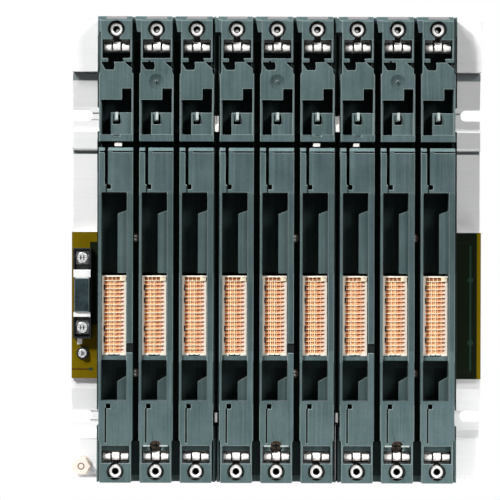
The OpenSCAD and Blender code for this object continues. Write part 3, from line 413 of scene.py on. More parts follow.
# Painted shade: the tinned sheet that lies deep in the windows is near black.
colour = mix_colour(tree, box_mask(tree, *deep_shade_box)["Mask"], tin, deep_shade_tone)
wire(tree, shader, Base_Color=colour, Metallic=0.3, Roughness=0.4,
     Normal=bump(tree, rub["Height"], strength=0.1, distance=0.00002))
for n in slot_numbers:
    for end in ("upper", "lower"):
        finish(f"{end}_earth_spring_{n}", tinned_spring)
        soften(f"{end}_earth_spring_{n}", radius=0.1, segments=1)
mesh = chamfered_boxes("tinned_pad", [on_board(tinned_pad)], track_edge)
place_piece("tinned_pad", mesh, tinned_spring)

# The threaded bushes
# Turned and nickel plated, and pressed into the two lands with their roots. The thread is cut
# after plating and is painted near black as the shade in the bores, and the drilled floor of the
# upper bores gleams.

bush_rows = (146.7, -128.1)
thread_mouth = 24.3
thread_pitch = 0.8
thread_turns = 8
thread_end = thread_mouth - thread_turns * thread_pitch
thread_root = 2.08
thread_valley = 2.0
thread_crest = 1.72
valley_at = 0.5
crest_at = 0.9
cup_back = thread_end - 1.0
cup_front = thread_end - 0.9
floor_outline = [(0.0, 0.12), (1.15, 0.08), (1.3, -0.2), (0.0, -0.9)]
nickel_tones = ((0.78, 0.77, 0.75), (0.95, 0.95, 0.94))
shade_black_tones = ((0.006, 0.006, 0.007), (0.03, 0.028, 0.026))
drilled_tones = ((0.8, 0.8, 0.79), (0.98, 0.98, 0.97))


def repeat_tree():
    """Sets one piece on every point of a mesh, at one size and in one finish."""
    tree, entry, leave = new_group(
        "repeat_on_points", {"Points": "Geometry", "Piece": "Object", "Size": "Float", "Finish": "Material"},
        {"Result": "Geometry"}, "GeometryNodeTree")
    original = add(tree, "GeometryNodeObjectInfo", Object=entry["Piece"])
    copies = add(tree, "GeometryNodeInstanceOnPoints", Points=entry["Points"],
                 Instance=original.outputs["Geometry"], Scale=entry["Size"])
    real = add(tree, "GeometryNodeRealizeInstances", Geometry=copies.outputs["Instances"])
    coat = add(tree, "GeometryNodeSetMaterial", Geometry=real.outputs["Geometry"], Material=entry["Finish"])
    wire(tree, leave, Result=coat.outputs["Geometry"])
    return tree


def repeated(name, template, places, material, size=1.0):
    """Copies a template to places in millimetres, and puts the copies on the rack as one piece."""
    carrier_mesh = bpy.data.meshes.new(name + "_places")
    carrier_mesh.from_pydata([tuple(value * mm for value in place) for place in places], [], [])
    carrier = bpy.data.objects.new(name + "_places", carrier_mesh)
    original = bpy.data.objects.new(name + "_original", template)
    for piece in (carrier, original):
        bpy.context.scene.collection.objects.link(piece)
    modifier = carrier.modifiers.new("repeat", "NODES")
    modifier.node_group = repeat_on_points
    values = {"Piece": original, "Size": size, "Finish": material}
    for socket in repeat_on_points.interface.items_tree:
        if socket.in_out == "INPUT" and socket.name in values:
            modifier[socket.identifier] = values[socket.name]
    graph = bpy.context.evaluated_depsgraph_get()
    mesh = bpy.data.meshes.new_from_object(carrier.evaluated_get(graph))
    carrier.modifiers.remove(modifier)
    bpy.data.objects.remove(carrier)
    bpy.data.objects.remove(original)
    return place_piece(name, mesh, None)


def turned(name, outline, sides):
    """A closed outline of radius and depth, turned about the depth axis."""
    count = len(outline)
    points, faces = [], []
    for step in range(sides):
        turn = math.tau * step / sides
        points += [(radius * math.cos(turn), -depth, radius * math.sin(turn)) for radius, depth in outline]
    for step in range(sides):
        start, after = step * count, (step + 1) % sides * count
        for k in range(count):
            beyond = (k + 1) % count
            faces.append((start + k, start + beyond, after + beyond, after + k))
    mesh = closed_mesh(name, points, faces)
    form = bmesh.new()
    form.from_mesh(mesh)
    bmesh.ops.dissolve_degenerate(form, dist=same_point, edges=form.edges[:])
    bmesh.ops.recalc_face_normals(form, faces=form.faces[:])
    form.to_mesh(mesh)
    form.free()
    return mesh


repeat_on_points = repeat_tree()

nickel_bush = plain_finish("nickel_bush", (1600.0, 140.0), nickel_tones, roughness=0.35, metallic=0.6)
for end in ("upper", "lower"):
    finish(f"{end}_threaded_bushes", nickel_bush)
    soften(f"{end}_threaded_bushes", radius=0.25)

# Painted shade: a near-black finish for the thread in the bores, and for the slits, cross recesses and driver
# slots further on.
shade_black = plain_finish("shade_black", (1600.0, 240.0), shade_black_tones, roughness=0.4, specular=0.2)
outline = [(thread_root, thread_mouth), (thread_root, cup_back), (0.0, cup_back), (0.0, cup_front)]
outline.append((thread_crest, thread_end))
for turn in range(thread_turns):
    outline.append((thread_valley, thread_end + (turn + valley_at) * thread_pitch))
    outline.append((thread_crest, thread_end + (turn + crest_at) * thread_pitch))
places = [(slot_x(n), 0.0, z) for n in slot_numbers for z in bush_rows]
repeated("bush_threads", turned("bush_thread", outline, sides=20), places, shade_black)

drilled_floor = plain_finish("drilled_floor", (1600.0, 240.0), drilled_tones, roughness=0.12, metallic=1.0)
outline = [(radius, thread_end + depth) for radius, depth in floor_outline]
places = [(slot_x(n), 0.0, bush_rows[0]) for n in slot_numbers]
repeated("bore_floors", turned("bore_floor", outline, sides=16), places, drilled_floor)

# The bus connectors
# A cream housing of ninety-five cavities for each slot, with a gold plated fork in each cavity.
# Ribs stiffen the housing between the pairs of rows, and slits at its left and foot key the plug;
# the slits are thin near-black pieces laid on the housing as painted shade. The forks of the top
# row are painted dark as shade, and the tone of the gold across the columns is painted to follow
# how the light falls on them.

connector_front = 23.5
contact_pitch = 2.5
contact_columns = 5
contact_rows = 19
contact_middle = (-1.15, -30.9)
gold_box = ((-0.0073, -1.0, -0.0546), (0.0044, 1.0, -0.0072), slot_pitch * mm)
first_row_shade_box = ((-0.0090, -1.0, -0.0097), (0.0066, 1.0, -0.0060), slot_pitch * mm)
fork_half = 0.98
fork_section = [(23.35, -1.0), (23.05, -1.0), (21.9, 0.3), (21.0, 0.55),
                (21.0, 0.8), (22.2, 0.65), (23.35, -0.65)]
rib_top = connector_front + 0.15
rib_seat = connector_front - 0.1
rib_half = 0.22
rib_ends = (-7.2, 4.9)
rib_every = 2
spine_half = 0.24
spine_places = (-3.65, -1.15)
spine_ends = (-54.3, -9.9)
block_top = rib_top + 0.3
corner_block = ((2.7, -block_top, -9.7), (6.1, -rib_seat, -6.8))
slit_top = rib_top + 0.02
foot_slit_top = connector_front + 0.04
slit_seat = connector_front - 0.2
slit_half = 1.7
slit_sides = (-7.5, -6.7)
slit_rows = (-13.9, -21.7, -39.2, -46.3)
foot_slits = (-4.6, -1.4, 1.8)
foot_slit_width = 0.7
foot_slit_ends = (-55.9, -55.2)
cream_tones = ((0.82, 0.72, 0.6), (0.91, 0.84, 0.75))
amber_tones = ((0.85, 0.48, 0.27), (0.97, 0.65, 0.42))
rib_tones = ((0.84, 0.68, 0.47), (0.93, 0.82, 0.64))
gold_light_ends = ((0.5, 0.17, 0.05), (1.0, 0.76, 0.66))
gold_light_bands = [(0.14, (0.6, 0.22, 0.07, 1.0)), (0.31, (1.0, 0.56, 0.2, 1.0)), (0.53, (1.0, 0.58, 0.21, 1.0)),
              (0.68, (0.68, 0.29, 0.12, 1.0)), (0.8, (0.8, 0.42, 0.25, 1.0))]
worn_gold = (0.5, 0.2, 0.07, 1.0)
first_row_shade_tone = (0.3, 0.13, 0.05, 1.0)
each_slot = [(slot_x(n), 0.0, 0.0) for n in slot_numbers]


def row_z(row):
    """The height of a row of contacts, counted from the lowest."""
    return contact_middle[1] + (row - (contact_rows - 1) / 2) * contact_pitch


def column_x(column):
    """The place of a column of contacts beside the middle of its slot."""
    return contact_middle[0] + (column - (contact_columns - 1) / 2) * contact_pitch


cream_housing, tree, shader = new_material("cream_housing")
skin = grain(tree, grain_scale=1400.0, cloud_scale=120.0)["Tone"]
cream = two_tone(tree, skin, *cream_tones)
amber = two_tone(tree, skin, *amber_tones)
colour = mix_colour(tree, box_mask(tree, *gold_box)["Mask"], cream, amber)
wire(tree, shader, Base_Color=colour, Roughness=0.5, Specular_IOR_Level=0.3)

cream_rib = plain_finish("cream_rib", (1400.0, 120.0), rib_tones, roughness=0.5)

gold_fork, tree, shader = new_material("gold_fork")
rub = grain(tree, grain_scale=1800.0, cloud_scale=300.0)["Tone"]
# Painted light: the gold is darker in the left column, strongest in the middle ones and paler to the right,
# as the light falls.
plating = two_tone(tree, box_mask(tree, *gold_box)["Across"], *gold_light_ends)
for where, band in gold_light_bands:
    plating.node.color_ramp.elements.new(where).color = band
worn = spread(tree, rub, From_Min=0.3, From_Max=0.7, To_Max=0.35)
colour = mix_colour(tree, worn, plating, worn_gold)
# Painted shade: the forks of the top row are dark.
colour = mix_colour(tree, box_mask(tree, *first_row_shade_box)["Mask"], colour, first_row_shade_tone)
wire(tree, shader, Base_Color=colour, Metallic=0.35, Roughness=0.45)

fork = drawn_out("contact_fork", fork_section, -fork_half, fork_half)
for n in slot_numbers:
    finish(f"bus_connector_{n}", cream_housing)
    soften(f"bus_connector_{n}", radius=0.12, segments=1)
    places = [(slot_x(n) + column_x(column), 0.0, row_z(row))
              for column in range(contact_columns) for row in range(contact_rows)]
    forks = repeated(f"bus_forks_{n}", fork, places, gold_fork)
    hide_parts(f"bus_contacts_{n}")

ribs = [((x - spine_half, -rib_top, spine_ends[0]), (x + spine_half, -rib_seat, spine_ends[1]))
        for x in spine_places]
ribs.append(corner_block)
for row in range(1, contact_rows - 1, rib_every):
    z = row_z(row + 0.5)
    ribs.append(((rib_ends[0], -rib_top, z - rib_half), (rib_ends[1], -rib_seat, z + rib_half)))
mesh = chamfered_boxes("housing_rib", ribs, edge=0.05)
repeated("housing_ribs", mesh, each_slot, cream_rib)

slits = [((slit_sides[0], -slit_top, z - slit_half), (slit_sides[1], -slit_seat, z + slit_half))
         for z in slit_rows]
slits += [((x, -foot_slit_top, foot_slit_ends[0]),
           (x + foot_slit_width, -slit_seat, foot_slit_ends[1])) for x in foot_slits]
mesh = chamfered_boxes("keying_slit", slits, edge=0.03)
# Painted shade: the slits are near-black pieces on the housing face.
repeated("keying_slits", mesh, each_slot, shade_black)

# The guide frames
# Three mouldings of filled grey plastic, three slots each, clipped over the profile and held by
# one screw, with a fine matt skin and paler rubbed edges. The moulding and its edges are painted
# darker as shade where they lie deep, in the gaps, pockets and windows and round the bushes, and
# the bevel under the cross slot is painted lighter as a highlight. Each slot has a latch nose and
# a tab of sheet in its top notch; the noses, the gate pips and the screw ledges are pale grey as a
# painted highlight. Seams, ears and clips close the gaps between the frames, and the seams, the
# slit tails, the strip notches and the ledge slits are near black as painted shade.

per_slot = slot_pitch * mm
once = 1.0
# Painted shade, and one painted highlight: where the moulding lies deep or thin, in the gaps,
# pockets and windows, and the level of its colour there beside its open face; the bevel under the
# cross slot is painted lighter.
light_and_shade_fields = {
    "label": ((-0.0012, -1.0, 0.0462), (0.0109, -0.0245, 0.0695), per_slot, 0.85),
    "strip": ((0.0066, -1.0, -0.0530), (0.0109, -0.0150, 0.0448), per_slot, 0.75),
    "pocket": ((-0.0098, -0.0262, 0.1190), (0.0110, 0.0, 0.1288), per_slot, 0.25),
    "upper windows": ((-0.1093, -0.0243, 0.0455), (0.1093, -0.0215, 0.1510), once, 0.4),
    "bevel": ((-0.1130, -0.0290, 0.0711), (0.1130, -0.0251, 0.0734), once, 1.6),
    "step": ((-0.0004, -0.0250, -0.0855), (0.0070, 0.0, -0.0640), per_slot, 0.6),
    "wedge": ((-0.0010, -0.0262, -0.0050), (0.0068, 0.0, 0.0448), per_slot, 0.8),
    "left gap": ((-0.0126, -0.0246, -0.1080), (-0.0111, 0.0, 0.1430), per_slot, 0.3),
    "right gap": ((0.0112, -0.0246, -0.1080), (0.0126, 0.0, 0.1430), per_slot, 0.3),
    "inside": ((-0.1093, -0.0215, -0.1310), (0.1093, 0.0100, 0.1510), once, 0.4),
}
# The same painted shade for the rubbed edges.
edge_shade_fields = {
    "left gap": (*light_and_shade_fields["left gap"][:3], 0.1),
    "right gap": (*light_and_shade_fields["right gap"][:3], 0.1),
    "lower windows": ((-0.1300, -0.0300, -0.0862), (0.1300, 0.0, -0.0600), once, 0.45),
    "middle windows": ((-0.1300, -0.0300, -0.0050), (0.1300, 0.0, 0.0440), once, 0.6),
}
# Painted shade round the bushes: the radius and the levels of the dark ring.
collar_radius = 5.4
collar_shade_level = 0.12
edge_collar_shade_level = 0.1
frame_half = 1.5 * slot_pitch
gate_pitch = 2 * frame_half
gate_z = 114.1
gate_radius = 4.75
gate_level = 0.72
ledge_slits = [(-102.2, -98.0), (22.9, 26.8), (47.8, 51.8)]
ledge_slit_ends = (79.4, 80.8)
ledge_slit_shade_level = 0.05
skin_stretch = (700.0, 700.0, 20.0)
streak_share = 0.35
moulding_tones = ((0.052, 0.085, 0.088), (0.108, 0.156, 0.16))
edge_tones = ((0.12, 0.165, 0.168), (0.24, 0.29, 0.29))
edge_shade_tone = (0.025, 0.036, 0.038, 1.0)
shade_fill_tones = ((0.004, 0.006, 0.006), (0.012, 0.016, 0.017))
highlight_grey_tones = ((0.3, 0.36, 0.35), (0.46, 0.52, 0.5))
tab_tones = ((0.26, 0.25, 0.26), (0.42, 0.4, 0.41))
slit_floor = [((-7.3, -26.45, -110.6), (-6.3, -25.2, -88.5))]
nose_section = [(25.6, 95.2), (26.1, 95.2), (27.3, 91.2), (27.2, 90.3), (25.6, 90.3)]
nose_ends = (-0.4, 1.25)
pip_outline = [(0.0, 26.6), (0.55, 26.45), (0.8, 26.0), (0.8, 24.6), (0.0, 24.6)]
top_tab = [((-6.0, -25.6, 153.1), (6.6, -24.8, 154.75))]
arm_spans = [(-100.9, -96.3), (22.4, 26.8), (47.4, 51.1)]
latch_arms = [((left, -26.2, 73.9), (right, -5.4, 76.3)) for left, right in arm_spans]
frame_seam = [((-0.5, -19.0, -134.7), (0.5, -12.6, 154.7))]
frame_ear = [((-1.3, -24.9, 144.9), (2.7, -12.6, 153.6))]
clip_section = [(24.0, 93.0), (24.3, 92.6), (24.4, 88.4), (26.0, 86.6), (26.0, 83.2), (24.0, 83.2)]
clip_ends = (-1.3, 1.2)
lower_clip = [((-1.0, -25.2, -97.5), (1.0, -24.0, -91.5))]
slit_tail = [((-6.3, -27.03, 45.0), (-5.5, -26.8, 49.5))]
frame_wire = [((36.5, -24.4, -133.0), (37.0, -18.5, -99.0))]
screw_ledge = [((-7.6, -27.1, -112.5), (-3.3, -26.0, -111.5)), ((2.6, -27.1, -112.5), (7.6, -26.0, -111.5))]
strip_notch = [((6.6, -25.66, -54.4), (10.9, -25.3, -48.6))]
middle_slots = (2, 5, 8)
notched_slots = (1, 5, 7)


def round_mask_group():
    """One inside a round place about the depth axis, which repeats along X by the pitch."""
    group, entry, leave = new_group(
        "round_mask", {"Vector": "Vector", "Height": "Float", "Radius": "Float", "Pitch": "Float"},
        {"Mask": "Float"})
    point = add(group, "ShaderNodeSeparateXYZ", Vector=entry["Vector"]).outputs
    local = wrapped(group, point["X"], entry["Pitch"])
    rise = maths(group, "SUBTRACT", point["Z"], entry["Height"])
    square = maths(group, "ADD", maths(group, "MULTIPLY", local, local), maths(group, "MULTIPLY", rise, rise))
    wire(group, leave, Mask=maths(group, "LESS_THAN", maths(group, "SQRT", square), entry["Radius"]))
    return group


def shade_group():
    """The colour times a level where the mask is one."""
    group, entry, leave = new_group(
        "shaded", {"Colour": "Color", "Mask": "Float", "Level": "Float"}, {"Colour": "Color"})
    level = spread(group, entry["Mask"], To_Min=1.0, To_Max=entry["Level"])
    scaled = group.nodes.new("ShaderNodeVectorMath")
    scaled.operation = "SCALE"
    feed(group, scaled.inputs[0], entry["Colour"])
    wire(group, scaled, Scale=level)
    wire(group, leave, Colour=scaled.outputs[0])
    return group


def round_mask(tree, height, radius, pitch):
    """The round mask in a material, from sizes in millimetres."""
    return place_group(tree, round_mask_tree, Height=height * mm, Radius=radius * mm, Pitch=pitch * mm)


def shade(tree, colour, mask, level):
    """The colour, brought to a level by a mask."""
    node = tree.nodes.new("ShaderNodeGroup")
    node.node_tree = shade_tree
    return wire(tree, node, Colour=colour, Mask=mask["Mask"], Level=level).outputs["Colour"]


def shade_collars(tree, colour, level):
    """Painted shade: a dark ring on the frame round every bush."""
    for z in bush_rows:
        colour = shade(tree, colour, round_mask(tree, z, collar_radius, slot_pitch), level)
    return colour


round_mask_tree = round_mask_group()
shade_tree = shade_group()

grey_moulding, tree, shader = new_material("grey_moulding")
skin = grain(tree, grain_scale=2200.0, cloud_scale=45.0)
tone = blend(tree, streak_share, skin["Tone"], drawn_lines(tree, skin_stretch, detail=2.0))
colour = two_tone(tree, spread(tree, tone, From_Min=0.36, From_Max=0.64), *moulding_tones)
# Painted shade in the deep places and the gaps, and a painted highlight on the bevel.
for low, high, pitch, level in light_and_shade_fields.values():
    colour = shade(tree, colour, box_mask(tree, low, high, pitch), level)
colour = shade(tree, colour, round_mask(tree, gate_z, gate_radius, gate_pitch), gate_level)
colour = shade_collars(tree, colour, collar_shade_level)
# Painted shade: black slits on the ledges of three slots.
for left, right in ledge_slits:
    low, high = [(x * mm, y, z * mm) for x, y, z in zip((left, right), (-1.0, 1.0), ledge_slit_ends)]
    colour = shade(tree, colour, box_mask(tree, low, high), ledge_slit_shade_level)
wire(tree, shader, Base_Color=colour, Roughness=0.48, Specular_IOR_Level=0.06,
     Normal=bump(tree, skin["Height"], strength=0.2, distance=0.00006))

rubbed_and_shaded_edge, tree, shader = new_material("rubbed_and_shaded_edge")
edge_tone = two_tone(tree, grain(tree, grain_scale=1500.0, cloud_scale=90.0)["Tone"], *edge_tones)
inside = box_mask(tree, *light_and_shade_fields["inside"][:3])
# Painted shade: the edges inside the frames, in the gaps, in the lower and middle windows and round the
# bushes are darkened.
colour = mix_colour(tree, inside["Mask"], edge_tone, edge_shade_tone)
for low, high, pitch, level in edge_shade_fields.values():
    colour = shade(tree, colour, box_mask(tree, low, high, pitch), level)
colour = shade_collars(tree, colour, edge_collar_shade_level)
wire(tree, shader, Base_Color=colour, Roughness=0.4, Specular_IOR_Level=0.12)
for place in ("left", "centre", "right"):
    finish(f"guide_frame_{place}", grey_moulding, rubbed_and_shaded_edge)
    soften(f"guide_frame_{place}", radius=0.35, edge_slot=1)

# Painted shade: the near-black seams, slit tails and strip notches stand for the dark of the gaps, slits and
# notches.
shade_fill_black = plain_finish("shade_fill_black", (1500.0, 120.0), shade_fill_tones, roughness=0.6, specular=0.1)
# Painted highlight: the latch noses, gate pips and screw ledges are pale grey where they catch the light.
highlight_grey = plain_finish("highlight_grey", (1500.0, 160.0), highlight_grey_tones, roughness=0.4)
dull_tab = plain_finish("dull_tab", (1500.0, 160.0), tab_tones, roughness=0.45, metallic=0.2)

mesh = chamfered_boxes("slit_floor", slit_floor, edge=0.03)
repeated("slit_floors", mesh, each_slot, grey_moulding)
mesh = drawn_out("latch_nose", nose_section, *nose_ends)
repeated("latch_noses", mesh, each_slot, highlight_grey)
gates = [(x, 0.0, gate_z) for x in (-gate_pitch, 0.0, gate_pitch)]
repeated("gate_pips", turned("gate_pip", pip_outline, sides=16), gates, highlight_grey)
repeated("top_tabs", chamfered_boxes("top_tab", top_tab, edge=0.1), each_slot, dull_tab)
mesh = chamfered_boxes("latch_arms", latch_arms, edge=0.15)
place_piece("latch_arms", mesh, tinned_spring)

seam_places = [(side * frame_half, 0.0, 0.0) for side in (-1, 1)]
mesh = chamfered_boxes("frame_seam", frame_seam, edge=0.1)
repeated("frame_seams", mesh, seam_places, shade_fill_black)
mesh = chamfered_boxes("frame_ear", frame_ear, edge=0.3)
repeated("frame_ears", mesh, seam_places, grey_moulding)
mesh = drawn_out("upper_clip", clip_section, *clip_ends)
repeated("upper_clips", mesh, seam_places, tinned_spring)
mesh = chamfered_boxes("lower_clip", lower_clip, edge=0.25)
repeated("lower_clips", mesh, seam_places, dull_tab)
mesh = chamfered_boxes("slit_tail", slit_tail, edge=0.01)
repeated("slit_tails", mesh, each_slot, shade_fill_black)
place_piece("frame_wire", chamfered_boxes("frame_wire", frame_wire, edge=0.1), dull_tab)
places = [(slot_x(n), 0.0, 0.0) for n in middle_slots]
mesh = chamfered_boxes("screw_ledge", screw_ledge, edge=0.1)
repeated("screw_ledges", mesh, places, highlight_grey)
places = [(slot_x(n), 0.0, 0.0) for n in notched_slots]
mesh = chamfered_boxes("strip_notch", strip_notch, edge=0.03)
repeated("strip_notches", mesh, places, shade_fill_black)

# The screws
# Zinc plated cheese-head screws hold the terminal, browned ones the frames. The heads of the
# screws in the board are browned too, as painted shade, and carry small bright zinc faces as
# painted glints. The cross recesses of the frame screws are painted near black as shade.

frame_screw_z = -112.7
cross_half = 0.35
cross_reach = 1.9
cross_gap = 0.4
cross_rise = 0.04
cross_sink = 0.06
board_screw_slots = (1, 5, 8)
board_screw_side = 11.5
board_screw_rows = (17.2, -67.5)
glint_sides = (-0.9, 0.7)
glint_ends = ((0.35, 1.7), (-1.7, -0.35))
glint_rise = 0.05
zinc_tones = ((0.8, 0.8, 0.8), (0.97, 0.97, 0.96))
browned_tones = ((0.06, 0.045, 0.036), (0.24, 0.175, 0.13))


def front_of(name):
    """The depth of a node's front in millimetres."""
    return -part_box(name)[0][1] / mm


zinc_steel = plain_finish("zinc_steel", (1500.0, 160.0), zinc_tones, roughness=0.25, metallic=0.7)
browned_steel = plain_finish("browned_steel", (1500.0, 160.0), browned_tones, roughness=0.4, metallic=0.6)
for name in ("terminal_screws", "earth_screw", "earth_spacer"):
    finish(name, zinc_steel)
# The frame screws are browned; the board screws get the same dark finish as painted shade.
for name in ("board_screws", "guide_frame_screws"):
    finish(name, browned_steel)
for name in ("board_screws", "terminal_screws", "earth_screw", "guide_frame_screws"):
    soften(name, radius=0.3)

# Painted shade: the cross recess of each frame screw is a near-black mark on its head.
front = front_of("guide_frame_screws")
marks = [((left, -front - cross_rise, bottom), (right, -front + cross_sink, top))
         for left, right, bottom, top in ((-cross_half, cross_half, -cross_reach, cross_reach),
                                          (-cross_reach, -cross_gap, -cross_half, cross_half),
                                          (cross_gap, cross_reach, -cross_half, cross_half))]
places = [(slot_x(n), 0.0, frame_screw_z) for n in middle_slots]
mesh = chamfered_boxes("cross_recess", marks, edge=0.02)
repeated("cross_recesses", mesh, places, shade_black)

# Painted glints: small bright zinc faces on the dark heads of the board screws.
front = front_of("board_screws")
glint_faces = []
for n in board_screw_slots:
    left, right = [slot_x(n) + board_screw_side + side for side in glint_sides]
    for z in board_screw_rows:
        glint_faces += [((left, -front - glint_rise, z + low), (right, -front + glint_rise, z + high))
                       for low, high in glint_ends]
mesh = chamfered_boxes("board_screw_faces", glint_faces, edge=0.02)
place_piece("board_screw_faces", mesh, zinc_steel)

# The reference terminal
# Two clamp plates on a black moulded base, joined by a flat link with an insulating grip. The
# clamp plates are painted dark as the shade of their wells, and the edges of the grip are painted
# paler as a highlight. The link's feet lie deep in the wells and are painted dark as shade, and
# its bars are bright.

terminal_x = -121.45
terminal_rows = (4.7, -39.0)
terminal_cuts = [(-1.3, -0.6, 1.3), (0.6, 1.3, 1.3)]
earth_row = -55.3
earth_cuts = [(-0.7, 0.1, 1.5), (0.5, 0.9, 0.9)]
cut_rise = 0.06
link_feet_shade_box = ((-0.14, -0.0172, -0.06), (-0.11, 0.0, 0.03))
base_tones = ((0.004, 0.006, 0.007), (0.014, 0.018, 0.02))
lit_edge_grip_tones = ((0.08, 0.11, 0.115), (0.22, 0.26, 0.27))
grip_tones = ((0.003, 0.007, 0.01), (0.032, 0.052, 0.058))
clamp_shade_tones = ((0.08, 0.088, 0.092), (0.42, 0.44, 0.45))
link_tones = ((0.8, 0.8, 0.79), (0.96, 0.96, 0.95))
link_feet_shade_tone = (0.03, 0.032, 0.034, 1.0)

black_moulding = plain_finish("black_moulding", (2000.0, 60.0), base_tones, roughness=0.45, specular=0.25)
for name in ("terminal_base", "earth_washer"):
    finish(name, black_moulding)
    soften(name, radius=0.3)

# Painted highlight: the edges of the grip are paler.
lit_edge_slate = plain_finish("lit_edge_slate", (1200.0, 110.0), lit_edge_grip_tones, roughness=0.5)
slate_grip, tree, shader = new_material("slate_grip")
skin = grain(tree, grain_scale=1200.0, cloud_scale=110.0)["Tone"]
blotch = spread(tree, skin, From_Min=0.35, From_Max=0.65)
wire(tree, shader, Base_Color=two_tone(tree, blotch, *grip_tones), Roughness=0.5, Specular_IOR_Level=0.15)
finish("jumper_sleeve", slate_grip, lit_edge_slate)
soften("jumper_sleeve", radius=0.5, edge_slot=1)

# Painted shade: the clamp plates are dark as they lie in the wells.
well_shaded_zinc = plain_finish("well_shaded_zinc", (1500.0, 160.0), clamp_shade_tones, roughness=0.5, metallic=0.3)
finish("terminal_clamps", well_shaded_zinc)
soften("terminal_clamps", radius=0.2)

bright_link, tree, shader = new_material("bright_link")
bright = two_tone(tree, grain(tree, grain_scale=1500.0, cloud_scale=160.0)["Tone"], *link_tones)
# Painted shade: the feet of the link are dark.
colour = mix_colour(tree, box_mask(tree, *link_feet_shade_box)["Mask"], bright, link_feet_shade_tone)
wire(tree, shader, Base_Color=colour, Metallic=0.3, Roughness=0.4)
finish("jumper_link", bright_link)
soften("jumper_link", radius=0.2)


def driver_slots(name, rows, cuts):
    """Driver slots painted near black as shade on the screw heads of a node; a cut has its left, its right
    and half its height.
    """
    back, front = cut_rise - front_of(name), -cut_rise - front_of(name)
    boxes = [((terminal_x + left, front, z - half), (terminal_x + right, back, z + half))
             for z in rows for left, right, half in cuts]
    mesh = chamfered_boxes(name + "_slots", boxes, edge=0.02)
    return place_piece(name + "_slots", mesh, shade_black)


driver_slots("terminal_screws", terminal_rows, terminal_cuts)
driver_slots("earth_screw", [earth_row], earth_cuts)

# The ground bolt
# A hexagon bolt with a lock washer and a flat washer, tapped into the lower land. Its zinc is
# passivated to a pale yellowish pink, and brown in the ring recess of the head.

bolt_x = -121.9
bolt_z = -125.8
recess_radii = (1.5, 2.2)
recess_rise = 0.05
recess_depth = 0.2
passivated_tones = ((0.84, 0.69, 0.59), (0.97, 0.87, 0.8))

yellow_zinc = plain_finish("yellow_zinc", (1500.0, 260.0), passivated_tones, roughness=0.35, metallic=0.4)
for name in ("ground_bolt", "ground_lock_washer", "ground_flat_washer"):
    finish(name, yellow_zinc)
    soften(name, radius=0.3)

front = front_of("ground_bolt")
inner, outer = recess_radii
outline = [(inner, front + recess_rise), (outer, front + recess_rise),
           (outer, front - recess_depth), (inner, front - recess_depth)]
mesh = turned("bolt_recess", outline, sides=24)
for point in mesh.vertices:
    point.co += Vector((bolt_x * mm, 0.0, bolt_z * mm))
place_piece("bolt_recess", mesh, browned_steel)

# The studio
# The rack hangs above a pale floor in front of white. Two lamps stand high on the left, a wide one
# on the right and one behind, and three small cards lift the lower edges. Metal mirrors a white
# room that is dimmer in front.

floor_z = -0.75
floor_radius = 1.4
floor_sides = 96
floor_tones = ((0.82, 0.82, 0.82), (0.9, 0.9, 0.9))
floor_glow = (0.3, 0.3, 0.3, 1.0)
white_light = (1.0, 1.0, 1.0, 1.0)
room_light = (0.95, 0.98, 1.0, 1.0)
room_level = 0.004
front_level = 0.42

floor_mesh = bpy.data.meshes.new("floor")
turns = [math.tau * step / floor_sides for step in range(floor_sides)]
rim = [(floor_radius * math.cos(turn), floor_radius * math.sin(turn), floor_z) for turn in turns]
floor_mesh.from_pydata(rim, [], [tuple(range(len(rim)))])
floor = bpy.data.objects.new("floor", floor_mesh)
bpy.context.scene.collection.objects.link(floor)
pale_floor, tree, shader = new_material("pale_floor")
colour = two_tone(tree, grain(tree, grain_scale=60.0, cloud_scale=4.0)["Tone"], *floor_tones)
path = tree.nodes.new("ShaderNodeLightPath").outputs
wire(tree, shader, Base_Color=colour, Roughness=0.7, Emission_Strength=path["Is Camera Ray"],
     Emission_Color=floor_glow)
floor_mesh.materials.append(pale_floor)
floor.visible_diffuse = False


def choose_light(tree, factor, first, second):
    """The second light where the factor is one, and the first elsewhere."""
    node = tree.nodes.new("ShaderNodeMixShader")
    for socket, source in zip(node.inputs, (factor, first, second)):
        tree.links.new(source, socket)
    return node.outputs[0]


def glow(tree, colour, strength):
    """An even light from the world."""
    return add(tree, "ShaderNodeBackground", Color=colour, Strength=strength).outputs[0]


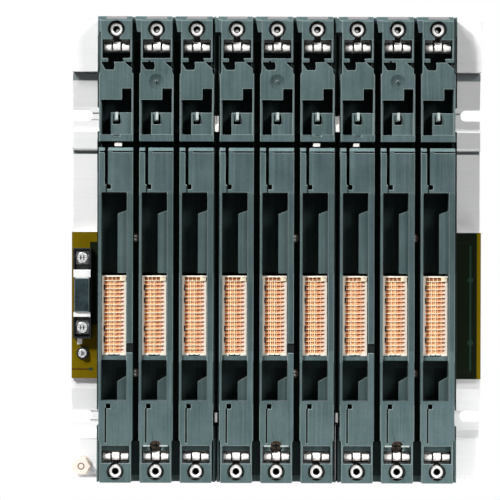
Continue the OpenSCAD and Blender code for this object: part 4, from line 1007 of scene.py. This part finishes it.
world = bpy.data.worlds.new("studio")
bpy.context.scene.world = world
world.use_nodes = True
tree = world.node_tree
tree.nodes.clear()
path = tree.nodes.new("ShaderNodeLightPath").outputs
where = tree.nodes.new("ShaderNodeTexCoord").outputs["Generated"]
axes = add(tree, "ShaderNodeSeparateXYZ", Vector=where).outputs
rise = maths(tree, "ABSOLUTE", axes["Z"])
over = spread(tree, rise, From_Min=0.35, From_Max=0.8, To_Min=front_level, To_Max=1.0)
behind = spread(tree, axes["Y"], From_Min=-0.1, From_Max=0.4, To_Min=front_level, To_Max=1.0)
mirrored = glow(tree, white_light, maths(tree, "MAXIMUM", over, behind))
unseen = choose_light(tree, path["Is Glossy Ray"], glow(tree, room_light, room_level), mirrored)
seen = maths(tree, "MAXIMUM", path["Is Camera Ray"], path["Is Transmission Ray"])
shown = choose_light(tree, seen, unseen, glow(tree, white_light, 1.0))
add(tree, "ShaderNodeOutputWorld", Surface=shown)


def lamp(name, place, aim, size, power):
    """A rectangular lamp or reflector card that looks at a point of the rack."""
    light = bpy.data.lights.new(name, "AREA")
    light.shape = "RECTANGLE"
    light.size, light.size_y = size
    light.energy = power
    piece = bpy.data.objects.new(name, light)
    bpy.context.scene.collection.objects.link(piece)
    piece.location = place
    piece.rotation_euler = (Vector(aim) - Vector(place)).to_track_quat("-Z", "Y").to_euler()
    piece.visible_camera = False


middle = (0, 0, 0)
lamp("key_lamp", (-1.31, -1.31, 1.38), middle, size=(0.3, 0.3), power=58.0)
lamp("high_lamp", (-1.0, -1.1, 1.75), middle, size=(0.3, 0.3), power=20.0)
lamp("right_lamp", (1.2, -1.3, 1.2), middle, size=(0.6, 0.6), power=24.0)
lamp("low_card", (0.0, -0.14, -0.2), (0, 0, -0.1), size=(0.36, 0.14), power=0.15)
lamp("right_card", (0.22, -0.12, -0.16), (0.1, 0, -0.1), size=(0.06, 0.16), power=0.17)
lamp("left_card", (-0.2, -0.12, -0.18), (-0.12, 0, -0.08), size=(0.06, 0.16), power=0.03)
lamp("back_lamp", (1.0, 1.6, 1.2), middle, size=(1.0, 1.0), power=40.0)

# The camera
# A long lens looks straight at the rack, a little left of its middle, and is turned a trace.
# Its width of view holds at the face of the frames.

view_width = 0.3103
view_middle = (-0.0166, 0.0097)
view_turn = -0.165
camera_distance = 1.2
face_y = -0.027
sensor_width = 36.0
camera_data = bpy.data.cameras.new("camera")
camera_data.sensor_width = sensor_width
camera_data.lens = sensor_width * camera_distance / view_width
camera = bpy.data.objects.new("camera", camera_data)
bpy.context.scene.collection.objects.link(camera)
camera.location = (view_middle[0], face_y - camera_distance, view_middle[1])
camera.rotation_euler = (math.radians(90), math.radians(view_turn), 0)
bpy.context.scene.camera = camera

scene = bpy.context.scene
scene.view_settings.view_transform = "Standard"
